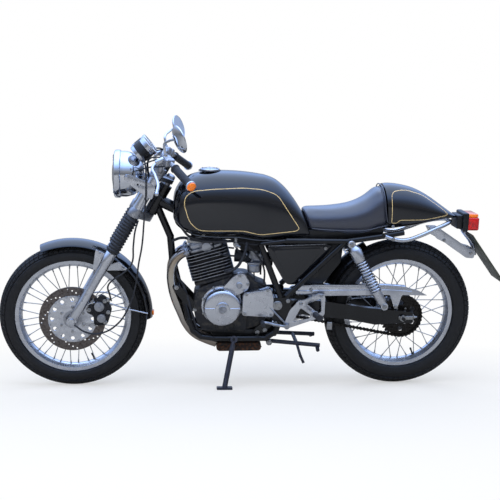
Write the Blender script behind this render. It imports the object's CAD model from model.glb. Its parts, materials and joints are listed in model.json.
import sys
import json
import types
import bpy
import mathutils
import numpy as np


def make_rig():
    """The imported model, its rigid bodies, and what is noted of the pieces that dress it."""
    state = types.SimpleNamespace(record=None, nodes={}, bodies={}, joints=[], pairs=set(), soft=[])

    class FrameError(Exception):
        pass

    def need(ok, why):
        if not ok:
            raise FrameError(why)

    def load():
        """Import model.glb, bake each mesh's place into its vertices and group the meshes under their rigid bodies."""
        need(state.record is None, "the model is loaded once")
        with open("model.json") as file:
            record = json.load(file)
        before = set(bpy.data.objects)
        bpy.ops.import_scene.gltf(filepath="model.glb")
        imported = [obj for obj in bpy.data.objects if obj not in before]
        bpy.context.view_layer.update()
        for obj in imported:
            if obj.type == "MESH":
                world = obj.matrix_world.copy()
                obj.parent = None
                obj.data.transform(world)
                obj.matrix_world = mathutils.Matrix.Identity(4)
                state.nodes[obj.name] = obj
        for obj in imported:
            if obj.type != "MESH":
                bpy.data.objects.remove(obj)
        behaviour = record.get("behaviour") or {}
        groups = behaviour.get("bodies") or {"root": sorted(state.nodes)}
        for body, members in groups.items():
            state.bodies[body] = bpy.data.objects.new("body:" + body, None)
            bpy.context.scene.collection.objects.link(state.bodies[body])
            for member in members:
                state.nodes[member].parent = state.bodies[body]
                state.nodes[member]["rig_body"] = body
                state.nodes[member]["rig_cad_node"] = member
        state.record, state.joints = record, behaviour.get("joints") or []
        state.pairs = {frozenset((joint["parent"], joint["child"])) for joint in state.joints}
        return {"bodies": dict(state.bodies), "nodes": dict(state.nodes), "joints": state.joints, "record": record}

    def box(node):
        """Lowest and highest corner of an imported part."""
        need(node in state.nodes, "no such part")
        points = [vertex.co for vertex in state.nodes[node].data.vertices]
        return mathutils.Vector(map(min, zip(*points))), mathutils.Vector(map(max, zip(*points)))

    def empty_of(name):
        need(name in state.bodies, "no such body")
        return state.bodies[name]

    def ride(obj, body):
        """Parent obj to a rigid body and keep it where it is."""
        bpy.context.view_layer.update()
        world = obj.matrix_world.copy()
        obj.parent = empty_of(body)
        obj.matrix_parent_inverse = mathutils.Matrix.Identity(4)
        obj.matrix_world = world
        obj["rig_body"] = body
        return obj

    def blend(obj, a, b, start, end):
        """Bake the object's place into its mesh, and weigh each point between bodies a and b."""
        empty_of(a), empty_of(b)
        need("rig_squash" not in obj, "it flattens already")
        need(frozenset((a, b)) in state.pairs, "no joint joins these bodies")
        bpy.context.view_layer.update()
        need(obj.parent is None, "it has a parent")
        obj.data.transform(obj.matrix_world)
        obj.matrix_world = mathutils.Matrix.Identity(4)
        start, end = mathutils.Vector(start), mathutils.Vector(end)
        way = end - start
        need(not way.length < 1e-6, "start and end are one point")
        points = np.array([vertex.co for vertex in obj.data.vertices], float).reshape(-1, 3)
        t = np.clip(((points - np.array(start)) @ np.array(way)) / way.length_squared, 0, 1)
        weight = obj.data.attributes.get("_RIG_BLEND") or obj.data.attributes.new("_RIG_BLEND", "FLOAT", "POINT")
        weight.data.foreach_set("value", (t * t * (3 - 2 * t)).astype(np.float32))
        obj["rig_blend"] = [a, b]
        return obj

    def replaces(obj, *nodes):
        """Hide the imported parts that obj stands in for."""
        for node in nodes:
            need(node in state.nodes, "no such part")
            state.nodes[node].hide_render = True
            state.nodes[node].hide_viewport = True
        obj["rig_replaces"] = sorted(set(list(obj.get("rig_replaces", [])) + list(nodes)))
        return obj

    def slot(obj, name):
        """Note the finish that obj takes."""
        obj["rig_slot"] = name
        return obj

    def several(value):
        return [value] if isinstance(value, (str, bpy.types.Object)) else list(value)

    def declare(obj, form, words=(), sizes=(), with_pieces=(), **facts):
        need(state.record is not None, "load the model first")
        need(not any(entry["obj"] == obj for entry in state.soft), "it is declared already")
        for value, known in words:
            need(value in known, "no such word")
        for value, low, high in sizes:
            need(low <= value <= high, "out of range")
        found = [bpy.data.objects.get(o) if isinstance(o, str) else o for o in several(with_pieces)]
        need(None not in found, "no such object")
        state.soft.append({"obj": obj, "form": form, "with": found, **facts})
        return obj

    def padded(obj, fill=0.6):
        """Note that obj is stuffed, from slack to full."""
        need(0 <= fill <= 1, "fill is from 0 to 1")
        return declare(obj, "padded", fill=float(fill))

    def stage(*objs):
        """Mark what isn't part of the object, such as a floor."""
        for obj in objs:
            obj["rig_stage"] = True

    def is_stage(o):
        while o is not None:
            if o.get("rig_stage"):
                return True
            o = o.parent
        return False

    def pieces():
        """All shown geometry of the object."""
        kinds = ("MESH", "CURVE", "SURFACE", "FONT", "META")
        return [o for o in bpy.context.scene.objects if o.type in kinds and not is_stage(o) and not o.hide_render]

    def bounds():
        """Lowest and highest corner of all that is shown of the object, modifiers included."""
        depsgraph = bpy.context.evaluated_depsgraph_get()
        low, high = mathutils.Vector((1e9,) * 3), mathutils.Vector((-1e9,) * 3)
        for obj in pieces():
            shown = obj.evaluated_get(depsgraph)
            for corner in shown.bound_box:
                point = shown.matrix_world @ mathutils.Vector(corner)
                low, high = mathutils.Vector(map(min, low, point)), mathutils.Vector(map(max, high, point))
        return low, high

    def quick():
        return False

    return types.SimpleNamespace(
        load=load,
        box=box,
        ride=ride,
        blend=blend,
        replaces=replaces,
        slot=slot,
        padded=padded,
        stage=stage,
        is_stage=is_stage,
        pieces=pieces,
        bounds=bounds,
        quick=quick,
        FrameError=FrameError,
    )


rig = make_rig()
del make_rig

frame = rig.load()

import json
import math

import bmesh
import bpy
from bpy.props import FloatProperty, FloatVectorProperty, IntProperty, PointerProperty
from mathutils import Matrix, Vector

bl_info = {
    "name": "Cafe Racer",
    "version": (1, 0, 0),
    "blender": (4, 5, 0),
    "location": "View3D > Sidebar > Cafe Racer",
    "description": "Dresses the motorcycle's packed frame with its finishes and detail",
    "category": "Object",
}

CAD_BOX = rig.bounds()

# ---- Places, all worked out from the frame ----------------------------------
# Pieces are drawn in millimetres on the upright machine: x forward, y to its left,
# z up, with the ground at z = 0 and x = 0 half way between the axles. PLACE then
# leans them as the machine is parked and turns them to metres.

def joint(name):
    """One joint of the frame, by name."""
    return next(j for j in frame["joints"] if j["name"] == name)


def spot(name):
    """The place of a joint in the row frame."""
    return Vector(joint(name)["pos_m"])


MM = 0.001
AXLE_WAY = Vector(joint("front_wheel_spin")["axis"])
LEAN = math.atan2(-AXLE_WAY.z, AXLE_WAY.y)


def across_x(node):
    """Half the length of a round CAD node along x, which is its radius, in millimetres."""
    low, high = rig.box(node)
    return (high.x - low.x) / 2 / MM


FRONT_R = across_x("front_tyre")
REAR_R = across_x("rear_tyre")
HALF_BASE = (spot("front_wheel_spin").x - spot("rear_wheel_spin").x) / 2 / MM
LEANING = Matrix.Rotation(-LEAN, 4, "X")
FRONT_AXLE = Vector((HALF_BASE, 0, FRONT_R))
REAR_AXLE = Vector((-HALF_BASE, 0, REAR_R))
PARK = Matrix.Translation(spot("front_wheel_spin") - LEANING @ (FRONT_AXLE * MM)) @ LEANING
PLACE = PARK @ Matrix.Scale(MM, 4)
UPRIGHT = PLACE.inverted()
HEAD = UPRIGHT @ spot("steering")
STEER_WAY = LEANING.inverted() @ Vector(joint("steering")["axis"])
RAKE = math.atan2(-STEER_WAY.x, STEER_WAY.z)
STEER = Matrix.Translation(HEAD) @ Matrix.Rotation(-RAKE, 4, "Y")
FORK_OFFSET = (FRONT_AXLE.x - HEAD.x) * math.cos(RAKE) + (FRONT_AXLE.z - HEAD.z) * math.sin(RAKE)
FORK_LOW = (FRONT_AXLE.z - HEAD.z) * math.cos(RAKE) - (FRONT_AXLE.x - HEAD.x) * math.sin(RAKE)
SIDES = (1, -1)


def steer(x, y, z):
    """A point given along the steering axes, on the upright machine."""
    return STEER @ Vector((x, y, z))


def flip(point, side):
    """A point, or its mirror image on the right-hand side where side is -1."""
    return Vector((point[0], point[1] * side, point[2]))


def around(centre, radius, degrees, y=0.0):
    """A point round a centre in the side view, at an angle from straight ahead."""
    turn = math.radians(degrees)
    return Vector((centre.x + radius * math.cos(turn), y, centre.z + radius * math.sin(turn)))


# ---- Sizes and colours that a user would change ---------------------------

class RacerSizes(bpy.types.PropertyGroup):
    """Sizes of the detail that is added to the frame."""
    tread_depth: FloatProperty(name="Tread depth", description="Height of the tread blocks in millimetres",
                               default=4.0, min=1.0, max=7.0)
    tread_blocks: IntProperty(name="Tread blocks", description="Blocks round each tyre", default=84, min=40, max=120)
    stripe_width: FloatProperty(name="Pinstripe width", description="Width of the pinstripes in millimetres",
                                default=3.0, min=1.0, max=6.0)
    spring_turns: IntProperty(name="Spring turns", description="Turns of each rear spring", default=11, min=6, max=14)
    chain_pitch: FloatProperty(name="Chain pitch", description="Pitch of the drive chain in millimetres",
                               default=15.875, min=12.7, max=19.05)


class RacerColours(bpy.types.PropertyGroup):
    """Colours of the paint and trim."""
    enamel: FloatVectorProperty(name="Enamel", description="Body paint", subtype="COLOR_GAMMA",
                                default=(0.035, 0.04, 0.06), min=0, max=1)
    stripe: FloatVectorProperty(name="Pinstripe", description="Pinstripe paint", subtype="COLOR_GAMMA",
                                default=(0.83, 0.73, 0.52), min=0, max=1)
    seat: FloatVectorProperty(name="Seat", description="Seat cover", subtype="COLOR_GAMMA",
                              default=(0.15, 0.165, 0.22), min=0, max=1)
    lamp_red: FloatVectorProperty(name="Tail lamp", description="Tail lamp lens", subtype="COLOR_GAMMA",
                                  default=(0.78, 0.06, 0.05), min=0, max=1)
    lamp_amber: FloatVectorProperty(name="Indicators", description="Indicator lenses", subtype="COLOR_GAMMA",
                                    default=(1.0, 0.5, 0.07), min=0, max=1)


# ---- Modelling ----------------------------------------------------------------

def clear_selection():
    """Leaves edit mode, deselects everything and goes back to selecting points."""
    if bpy.context.mode != "OBJECT":
        bpy.ops.object.mode_set(mode="OBJECT")
    bpy.ops.object.select_all(action="DESELECT")
    bpy.context.tool_settings.mesh_select_mode = (True, False, False)


def pick(*pieces):
    """Selects these pieces alone and makes the first active."""
    clear_selection()
    for piece in pieces:
        piece.select_set(True)
    bpy.context.view_layer.objects.active = pieces[0]
    return pieces[0]


def started(name):
    """Names the primitive that was just added."""
    piece = bpy.context.object
    piece.name = name
    return piece


def settle(piece, frame_of=None):
    """Moves a piece's place, turn and size into its mesh."""
    bpy.context.view_layer.update()
    piece.data.transform((frame_of or Matrix.Identity(4)) @ piece.matrix_world)
    piece.matrix_world = Matrix.Identity(4)
    return piece


def joined(name, pieces):
    """Joins pieces into one mesh."""
    pick(*pieces)
    if len(pieces) > 1:
        bpy.ops.object.join()
    return started(name)


def outward(piece):
    """Merges doubled points and points all faces outwards."""
    pick(piece)
    bpy.ops.object.mode_set(mode="EDIT")
    bpy.ops.mesh.select_all(action="SELECT")
    bpy.ops.mesh.remove_doubles(threshold=0.02)
    bpy.ops.mesh.normals_make_consistent(inside=False)
    bpy.ops.object.mode_set(mode="OBJECT")
    return piece


def modified(piece, kind, **settings):
    """Adds a modifier with its settings and applies it."""
    pick(piece)
    modifier = piece.modifiers.new(kind.title(), kind)
    for key, value in settings.items():
        setattr(modifier, key, value)
    bpy.ops.object.modifier_apply(modifier=modifier.name)
    return piece


def bevelled(piece, width, segments=2, angle=40):
    """Rounds a piece's edges."""
    return modified(piece, "BEVEL", width=width, segments=segments, limit_method="ANGLE",
                    angle_limit=math.radians(angle), use_clamp_overlap=True)


def lathe(name, profile, steps=64, turn=360, closed=False, start=0):
    """Turns a profile of (radius, along) points about the y axis, from an angle below straight ahead."""
    clear_selection()
    bpy.ops.mesh.primitive_plane_add(size=1)
    piece = started(name)
    bpy.ops.object.mode_set(mode="EDIT")
    bpy.ops.mesh.merge(type="CENTER")
    point = Vector((*profile[0], 0))
    bpy.ops.transform.translate(value=point)
    for radius, along in profile[1:]:
        aim = Vector((radius, along, 0))
        bpy.ops.mesh.extrude_region_move(TRANSFORM_OT_translate={"value": aim - point})
        point = aim
    if closed:
        shape = bmesh.from_edit_mesh(piece.data)
        first, last = (min(shape.verts, key=lambda v: (v.co - Vector((*end, 0))).length)
                       for end in (profile[0], profile[-1]))
        shape.edges.new((first, last))
        bmesh.update_edit_mesh(piece.data)
    bpy.ops.mesh.select_all(action="SELECT")
    bpy.ops.mesh.spin(steps=steps, angle=math.radians(turn), center=(0, 0, 0), axis=(0, 1, 0))
    bpy.ops.object.mode_set(mode="OBJECT")
    piece.data.transform(Matrix.Rotation(-math.radians(start), 4, "Y"))
    return outward(piece)


def loft(name, rings, capped=True):
    """A skin: a circle is extruded once for each ring and its points are then laid on the rings."""
    clear_selection()
    count = len(rings[0])
    bpy.ops.mesh.primitive_circle_add(vertices=count, radius=1)
    piece = started(name)
    bpy.ops.object.mode_set(mode="EDIT")
    bpy.ops.mesh.select_all(action="SELECT")
    for _ in rings[1:]:
        bpy.ops.mesh.extrude_edges_move(TRANSFORM_OT_translate={"value": (0, 0, 1)})
    for level in (0, len(rings) - 1) if capped else ():
        shape = bmesh.from_edit_mesh(piece.data)
        for vertex in shape.verts:
            vertex.select_set(round(vertex.co.z) == level)
        shape.select_flush_mode()
        bpy.ops.mesh.edge_face_add()
    bpy.ops.object.mode_set(mode="OBJECT")
    for vertex in piece.data.vertices:
        turn = math.atan2(vertex.co.y, vertex.co.x) / math.tau
        vertex.co = rings[round(vertex.co.z)][round(turn * count) % count]
    return outward(piece)


def tube(name, points, radius, sides=4, smoothness=6, loop=False):
    """A round bar or hose along a smooth curve through points."""
    clear_selection()
    bpy.ops.curve.primitive_bezier_curve_add()
    curve = bpy.context.object.data
    spline = curve.splines[0]
    spline.bezier_points.add(len(points) - len(spline.bezier_points))
    for knot, point in zip(spline.bezier_points, points):
        knot.co = point
        knot.handle_left_type = knot.handle_right_type = "AUTO"
    spline.use_cyclic_u = loop
    curve.dimensions = "3D"
    curve.resolution_u = smoothness
    curve.bevel_depth = radius
    curve.bevel_resolution = sides
    curve.use_fill_caps = not loop
    bpy.ops.object.convert(target="MESH")
    return outward(settle(started(name)))


def plate(name, outline, y_low, y_high, holes=(), edge=0.6):
    """A flat plate in the side view with holes: a filled curve with thickness and rounded edges.
    A hole is (x, z, radius), or a list of corner points."""
    def corners(hole):
        if len(hole) == 3 and not hasattr(hole[0], "__len__"):
            return [(hole[0] + hole[2] * math.cos(math.tau * k / 20), hole[1] + hole[2] * math.sin(math.tau * k / 20))
                    for k in range(20)]
        return hole
    clear_selection()
    bpy.ops.curve.primitive_bezier_circle_add()
    curve = bpy.context.object.data
    curve.splines.clear()
    for loop in [outline, *map(corners, holes)]:
        spline = curve.splines.new("POLY")
        spline.points.add(len(loop) - 1)
        for knot, (x, z) in zip(spline.points, loop):
            knot.co = (x, z, 0, 1)
        spline.use_cyclic_u = True
    curve.dimensions = "2D"
    curve.fill_mode = "BOTH"
    edge = min(edge, (y_high - y_low) * 0.4)
    curve.bevel_depth = edge
    curve.bevel_resolution = 1
    curve.offset = -edge
    curve.extrude = (y_high - y_low) / 2 - edge
    bpy.ops.object.convert(target="MESH")
    piece = started(name)
    piece.data.transform(Matrix.Translation((0, (y_high + y_low) / 2, 0)) @ Matrix.Rotation(math.pi / 2, 4, "X"))
    return outward(piece)


def rounded(corners, radius, steps=4):
    """An outline with its corners rounded off."""
    points = []
    count = len(corners)
    for k, corner in enumerate(corners):
        here = Vector(corner)
        before, after = (Vector(corners[(k + s) % count]) - here for s in (-1, 1))
        reach = min(radius, before.length * 0.45, after.length * 0.45)
        a, b = here + before.normalized() * reach, here + after.normalized() * reach
        for step in range(steps + 1):
            t = step / steps
            points.append(tuple(a * (1 - t) ** 2 + here * 2 * t * (1 - t) + b * t ** 2))
    return points


def circle(x, z, radius, count=48):
    """A circular outline in the side view."""
    return [(x + radius * math.cos(math.tau * k / count), z + radius * math.sin(math.tau * k / count))
            for k in range(count)]


def bar(name, start, end, radius, far_radius=None, sides=24, edge=0.8):
    """A straight bar, or a taper, with rounded ends."""
    clear_selection()
    start, end = Vector(start), Vector(end)
    way = end - start
    bpy.ops.mesh.primitive_cone_add(vertices=sides, radius1=radius, radius2=far_radius or radius, depth=way.length)
    piece = started(name)
    piece.matrix_world = Matrix.Translation((start + end) / 2) @ way.to_track_quat("Z", "Y").to_matrix().to_4x4()
    settle(piece)
    return bevelled(piece, min(edge, radius * 0.3), 2)


def block(name, centre, size, edge=3, turn=0, segments=3, taper=None):
    """A rounded block, turned in the side view; taper scales its far face in y."""
    clear_selection()
    bpy.ops.mesh.primitive_cube_add(size=1)
    piece = started(name)
    if taper:
        bpy.ops.object.mode_set(mode="EDIT")
        bpy.ops.mesh.select_all(action="DESELECT")
        shape = bmesh.from_edit_mesh(piece.data)
        for vertex in shape.verts:
            vertex.select_set(vertex.co.y * taper[0] > 0)
        shape.select_flush_mode()
        bpy.ops.transform.resize(value=(taper[1], 1, taper[1]))
        bpy.ops.object.mode_set(mode="OBJECT")
    piece.data.transform(Matrix.Diagonal((*size, 1)))
    bevelled(piece, edge, segments)
    piece.data.transform(Matrix.Translation(centre) @ Matrix.Rotation(-math.radians(turn), 4, "Y"))
    return piece


def copies(name, pattern, placements):
    """Copies a pattern piece to each placement, each copy with its own mesh, and joins them."""
    made = []
    for placement in placements:
        copy = pattern.copy()
        copy.data = pattern.data.copy()
        copy.data.transform(placement)
        bpy.context.scene.collection.objects.link(copy)
        made.append(copy)
    bpy.data.objects.remove(pattern)
    return joined(name, made)


def facing(point, way, size=1.0):
    """A placement at a point, with the pattern's z axis along a direction."""
    turn = Vector(way).to_track_quat("Z", "Y").to_matrix().to_4x4()
    return Matrix.Translation(point) @ turn @ Matrix.Scale(size, 4)


def hex_bolt():
    """A hexagon bolt head one unit across its corners' radius, on its washer."""
    clear_selection()
    bpy.ops.mesh.primitive_cylinder_add(vertices=6, radius=1, depth=0.9, location=(0, 0, 0.5))
    head = bevelled(settle(started("bolt")), 0.12, 2)
    clear_selection()
    bpy.ops.mesh.primitive_cylinder_add(vertices=20, radius=1.35, depth=0.22, location=(0, 0, 0.1))
    washer = bevelled(settle(started("washer")), 0.05, 1)
    return joined("bolt", [head, washer])


def screw():
    """A round cap screw with a socket, one unit in radius."""
    clear_selection()
    bpy.ops.mesh.primitive_cylinder_add(vertices=16, radius=1, depth=0.8, location=(0, 0, 0.4))
    piece = settle(started("screw"))
    bpy.ops.object.mode_set(mode="EDIT")
    bpy.ops.mesh.select_all(action="DESELECT")
    shape = bmesh.from_edit_mesh(piece.data)
    for face in shape.faces:
        face.select_set(face.normal.z > 0.9)
    bpy.ops.mesh.inset(thickness=0.42)
    bpy.ops.mesh.extrude_region_move(TRANSFORM_OT_translate={"value": (0, 0, -0.5)})
    bpy.ops.object.mode_set(mode="OBJECT")
    return bevelled(piece, 0.09, 1)


def bolts(name, pattern, list_of, size, material, body, slot):
    """Copies a bolt or screw to (point, direction) places."""
    piece = copies(name, pattern(), [facing(point, way, size) for point, way in list_of])
    return finish(piece, material, body, slot)


def finish(piece, material, body, slot, replaces=(), smooth=35, place=None):
    """Puts a piece in its place in the row frame and gives it its finish and its body."""
    settle(piece, PLACE if place is None else place)
    pick(piece)
    if smooth:
        bpy.ops.object.shade_smooth_by_angle(angle=math.radians(smooth))
    piece.data.materials.clear()
    piece.data.materials.append(material)
    if body:
        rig.ride(piece, body)
    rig.slot(piece, slot)
    if replaces:
        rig.replaces(piece, *replaces)
    return piece


# ---- Finishes -------------------------------------------------------------------

def linear(colour):
    """A linear colour from sRGB, given as hex or as three values."""
    if isinstance(colour, str):
        colour = [int(colour[k:k + 2], 16) / 255 for k in (0, 2, 4)]
    return (*(c / 12.92 if c <= 0.04045 else ((c + 0.055) / 1.055) ** 2.4 for c in colour), 1.0)


def node(tree, kind, inputs=None, **settings):
    """Adds a shader node with its settings; an input that is a socket is linked, any other is set."""
    made = tree.nodes.new(kind)
    for key, value in settings.items():
        setattr(made, key, value)
    for key, value in (inputs or {}).items():
        if isinstance(value, bpy.types.NodeSocket):
            tree.links.new(value, made.inputs[key])
        else:
            made.inputs[key].default_value = value
    return made


def per_mm(size):
    """The texture scale at which one feature measures this many millimetres."""
    return 1 / (size * MM)


def surface(name, colour, rough, metal=0.0, second=None, patch=25.0, cover=0.5, grain=(), ior=1.5, coat=0.0,
            stretch=None, **shader_values):
    """A finish. rough is the lowest and highest roughness, which a noise of patch mm moves between.
    second is a colour that shows through in patches over the share cover of the surface. grain is a
    list of (texture, size in mm, height in mm) that becomes bump. stretch scales the grain's axes."""
    if name in bpy.data.materials:
        return bpy.data.materials[name]
    material = bpy.data.materials.new(name)
    material.use_nodes = True
    tree = material.node_tree
    shader = tree.nodes["Principled BSDF"]
    at = node(tree, "ShaderNodeTexCoord").outputs["Object"]
    clouds = node(tree, "ShaderNodeTexNoise", {"Vector": at, "Scale": per_mm(patch), "Detail": 6.0, "Roughness": 0.6})
    dull = node(tree, "ShaderNodeMapRange", {
        "Value": clouds.outputs["Fac"], "From Min": 0.3, "From Max": 0.7, "To Min": rough[0], "To Max": rough[1]})
    tree.links.new(dull.outputs["Result"], shader.inputs["Roughness"])
    if second:
        mask = node(tree, "ShaderNodeMapRange", {
            "Value": clouds.outputs["Fac"], "From Min": 0.62 - 0.3 * cover, "From Max": 0.8 - 0.3 * cover})
        mix = node(tree, "ShaderNodeMix", {
            0: mask.outputs["Result"], 6: linear(colour), 7: linear(second)}, data_type="RGBA")
        tree.links.new(mix.outputs[2], shader.inputs["Base Color"])
    else:
        shader.inputs["Base Color"].default_value = linear(colour)
    shader.inputs["Metallic"].default_value = metal
    if not metal:
        shader.inputs["IOR"].default_value = ior
    if coat:
        shader.inputs["Coat Weight"].default_value = coat
        shader.inputs["Coat Roughness"].default_value = 0.03
    for key, value in shader_values.items():
        shader.inputs[key.replace("_", " ")].default_value = value
    if stretch:
        at = node(tree, "ShaderNodeMapping", {"Vector": at, "Rotation": (LEAN, 0, 0), "Scale": stretch}).outputs[0]
    bump = None
    for texture, size, height in grain:
        kinds = {"noise": ("ShaderNodeTexNoise", "Fac"), "cells": ("ShaderNodeTexVoronoi", "Distance")}
        kind, output = kinds[texture]
        pattern = node(tree, kind, {"Vector": at, "Scale": per_mm(size)})
        bump = node(tree, "ShaderNodeBump", {
            "Height": pattern.outputs[output], "Distance": height * MM,
            **({"Normal": bump.outputs["Normal"]} if bump else {})})
    if bump:
        tree.links.new(bump.outputs["Normal"], shader.inputs["Normal"])
    return material


def enamel():
    """Black two-pack enamel, sprayed and polished: a deep wet gloss with faint polishing haze."""
    return surface("black_enamel", bpy.context.scene.racer_colours.enamel, (0.04, 0.1), patch=70, coat=0.5,
                   grain=[("noise", 6, 0.004)])


def stripe_paint():
    """Cream-gold coach line laid by brush under the lacquer."""
    return surface("coach_line_paint", bpy.context.scene.racer_colours.stripe, (0.25, 0.4),
                   second="a8915f", patch=12, cover=0.4, coat=1.0)


def leather():
    """Smooth grained leather, dyed blue-black: fine pores and a soft sheen."""
    return surface("dyed_leather", bpy.context.scene.racer_colours.seat, (0.28, 0.38), second="262c3e", patch=60,
                   cover=0.4, coat=1.0, grain=[("cells", 1.1, 0.03), ("noise", 14, 0.1)], Coat_Roughness=0.3)


def chassis_paint():
    """Black powder coat: satin, with a fine orange peel."""
    return surface("black_powder_coat", "08080a", (0.14, 0.26), second="0e0f11", patch=45, cover=0.4,
                   grain=[("noise", 1.6, 0.01)])


def polished_alloy():
    """Cast aluminium polished by mop: bright, with clouded patches where it has dulled."""
    return surface("polished_aluminium", "d4d6db", (0.2, 0.32), metal=1.0, second="c4c6cc", patch=55, cover=0.4,
                   grain=[("noise", 4, 0.004)])


def cast_alloy():
    """Sand-cast aluminium left as cast: grey, granular and matt."""
    return surface("sand_cast_aluminium", "b4b6bb", (0.34, 0.5), metal=1.0, second="94969b", patch=22, cover=0.5,
                   grain=[("noise", 1.1, 0.05), ("noise", 7, 0.06)])


def case_paint():
    """Aluminium case painted dark and dusty with road dirt in its corners."""
    return surface("painted_case", "2b2c30", (0.4, 0.6), metal=0.55, second="4a4743", patch=22, cover=0.5,
                   grain=[("noise", 1.3, 0.08)])


def fin_paint():
    """Heat-proof black on the fins: matt and slightly browned."""
    return surface("heat_proof_black", "17171a", (0.45, 0.65), second="2b2724", patch=18, cover=0.5,
                   grain=[("noise", 1.4, 0.07)])


def chrome():
    """Chromium plate: mirror bright with a trace of haze."""
    return surface("chromium_plate", "dcdee2", (0.03, 0.1), metal=1.0, second="cdd0d6", patch=40, cover=0.4)


def zinc_steel():
    """Zinc-plated steel fasteners: pale, greyed with handling."""
    return surface("zinc_plated_steel", "b4b5b6", (0.24, 0.42), metal=1.0, second="8a8782", patch=5, cover=0.5,
                   grain=[("noise", 0.8, 0.01)])


def rubber():
    """Moulded rubber with a blue-black bloom."""
    return surface("moulded_rubber", "1b1d23", (0.45, 0.62), second="2a2c33", patch=9, cover=0.5,
                   grain=[("noise", 0.9, 0.03)])


def tyre_rubber():
    """Tyre rubber: matt black, greyed by road dust."""
    return surface("tyre_rubber", "0d0d0e", (0.5, 0.75), second="1b1a1a", patch=13, cover=0.5,
                   grain=[("noise", 0.9, 0.05)])


def black_plastic():
    """Moulded ABS with a fine spark-eroded grain."""
    return surface("moulded_abs", "0c0d0f", (0.3, 0.45), second="131417", patch=20, cover=0.5,
                   grain=[("noise", 0.7, 0.02)])


def stained_chrome():
    """Chromed header pipe, straw and blue where the exhaust has coloured it."""
    name = "heat_stained_chrome"
    if name in bpy.data.materials:
        return bpy.data.materials[name]
    material = surface(name, "b9b2a8", (0.06, 0.2), metal=1.0)
    tree = material.node_tree
    at = node(tree, "ShaderNodeTexCoord").outputs["Object"]
    level = node(tree, "ShaderNodeSeparateXYZ", {"Vector": at}).outputs["Z"]
    blur = node(tree, "ShaderNodeTexNoise", {"Vector": at, "Scale": per_mm(24), "Detail": 4.0}).outputs["Fac"]
    wave = node(tree, "ShaderNodeMath", {0: blur, 1: 0.09, 2: level}, operation="MULTIPLY_ADD").outputs[0]
    place = node(tree, "ShaderNodeMapRange", {"Value": wave, "From Min": 0.26, "From Max": 0.66})
    ramp = node(tree, "ShaderNodeValToRGB", {"Fac": place.outputs["Result"]})
    stops = [(0.0, "9a8f84"), (0.3, "b9b3ab"), (0.62, "c4bdb0"), (0.82, "b0a08c"), (0.94, "8f8580"), (1.0, "7d7c84")]
    while len(ramp.color_ramp.elements) < len(stops):
        ramp.color_ramp.elements.new(0.5)
    for element, (position, colour) in zip(ramp.color_ramp.elements, stops):
        element.position = position
        element.color = linear(colour)
    tree.links.new(ramp.outputs["Color"], tree.nodes["Principled BSDF"].inputs["Base Color"])
    return material


def rusty_steel():
    """Mild steel box, burnt black and scaled with brown rust."""
    return surface("scaled_steel", "1e1a19", (0.6, 0.85), metal=0.35, second="5a3a26", patch=11, cover=0.55,
                   grain=[("noise", 2.2, 0.25)])


def chain_steel():
    """Oiled chain steel: dark, with bright worn edges."""
    return surface("oiled_chain_steel", "3a3836", (0.3, 0.5), metal=1.0, second="181614", patch=4, cover=0.6)


def disc_iron():
    """Turned cast iron: grey-brown with fine rings left by the pads."""
    name = "turned_cast_iron"
    if name in bpy.data.materials:
        return bpy.data.materials[name]
    material = surface(name, "77706c", (0.34, 0.5), metal=1.0, second="5a514b", patch=9, cover=0.5)
    tree = material.node_tree
    at = node(tree, "ShaderNodeTexCoord").outputs["Object"]
    hub = spot("front_wheel_spin")
    centred = node(tree, "ShaderNodeMapping", {
        "Vector": at, "Rotation": (LEAN, 0, 0), "Location": -(LEANING.inverted() @ hub)}).outputs[0]
    rings = node(tree, "ShaderNodeTexWave", {"Vector": centred, "Scale": per_mm(3) / 20, "Distortion": 0.4},
                 wave_type="RINGS", rings_direction="Y")
    bump = node(tree, "ShaderNodeBump", {"Height": rings.outputs["Fac"], "Distance": 0.02 * MM})
    tree.links.new(bump.outputs["Normal"], tree.nodes["Principled BSDF"].inputs["Normal"])
    return material


def black_anodised():
    """Hard-anodised black caliper, rubbed grey at its edges."""
    return surface("hard_anodised_black", "1f2024", (0.35, 0.52), metal=0.6, second="3a3a3e", patch=10, cover=0.5,
                   grain=[("noise", 1.2, 0.05)])


def lamp_glass():
    """Clear pressed glass."""
    return surface("pressed_glass", "f4f6f8", (0.0, 0.03), ior=1.52, Transmission_Weight=1.0)


def red_lens():
    """Red moulded acrylic over a reflector."""
    return surface("red_acrylic", bpy.context.scene.racer_colours.lamp_red, (0.1, 0.2), ior=1.49, coat=0.6,
                   second="8f0d10", patch=14, cover=0.5)


def amber_lens():
    """Amber moulded acrylic over a reflector."""
    return surface("amber_acrylic", bpy.context.scene.racer_colours.lamp_amber, (0.1, 0.2), ior=1.49, coat=0.6,
                   second="d87410", patch=10, cover=0.5)


def dial_white():
    """Screen-printed marks on a dial."""
    return surface("dial_ink", "e9e7df", (0.5, 0.6), second="dedbd0", patch=6, cover=0.5)


def plate_paint():
    """Blank aluminium plate in dark olive paint, stained."""
    return surface("olive_plate_paint", "3f4236", (0.42, 0.6), second="2d2f28", patch=35, cover=0.5,
                   grain=[("noise", 3, 0.02)])


def stand_paint():
    """Blue-black paint on the stands, chipped and dusty."""
    return surface("stand_paint", "1c1f2c", (0.35, 0.55), second="33323a", patch=9, cover=0.5,
                   grain=[("noise", 1.5, 0.04)])


# ---- Finishes of the CAD nodes that stay ---------------------------------------------

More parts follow.
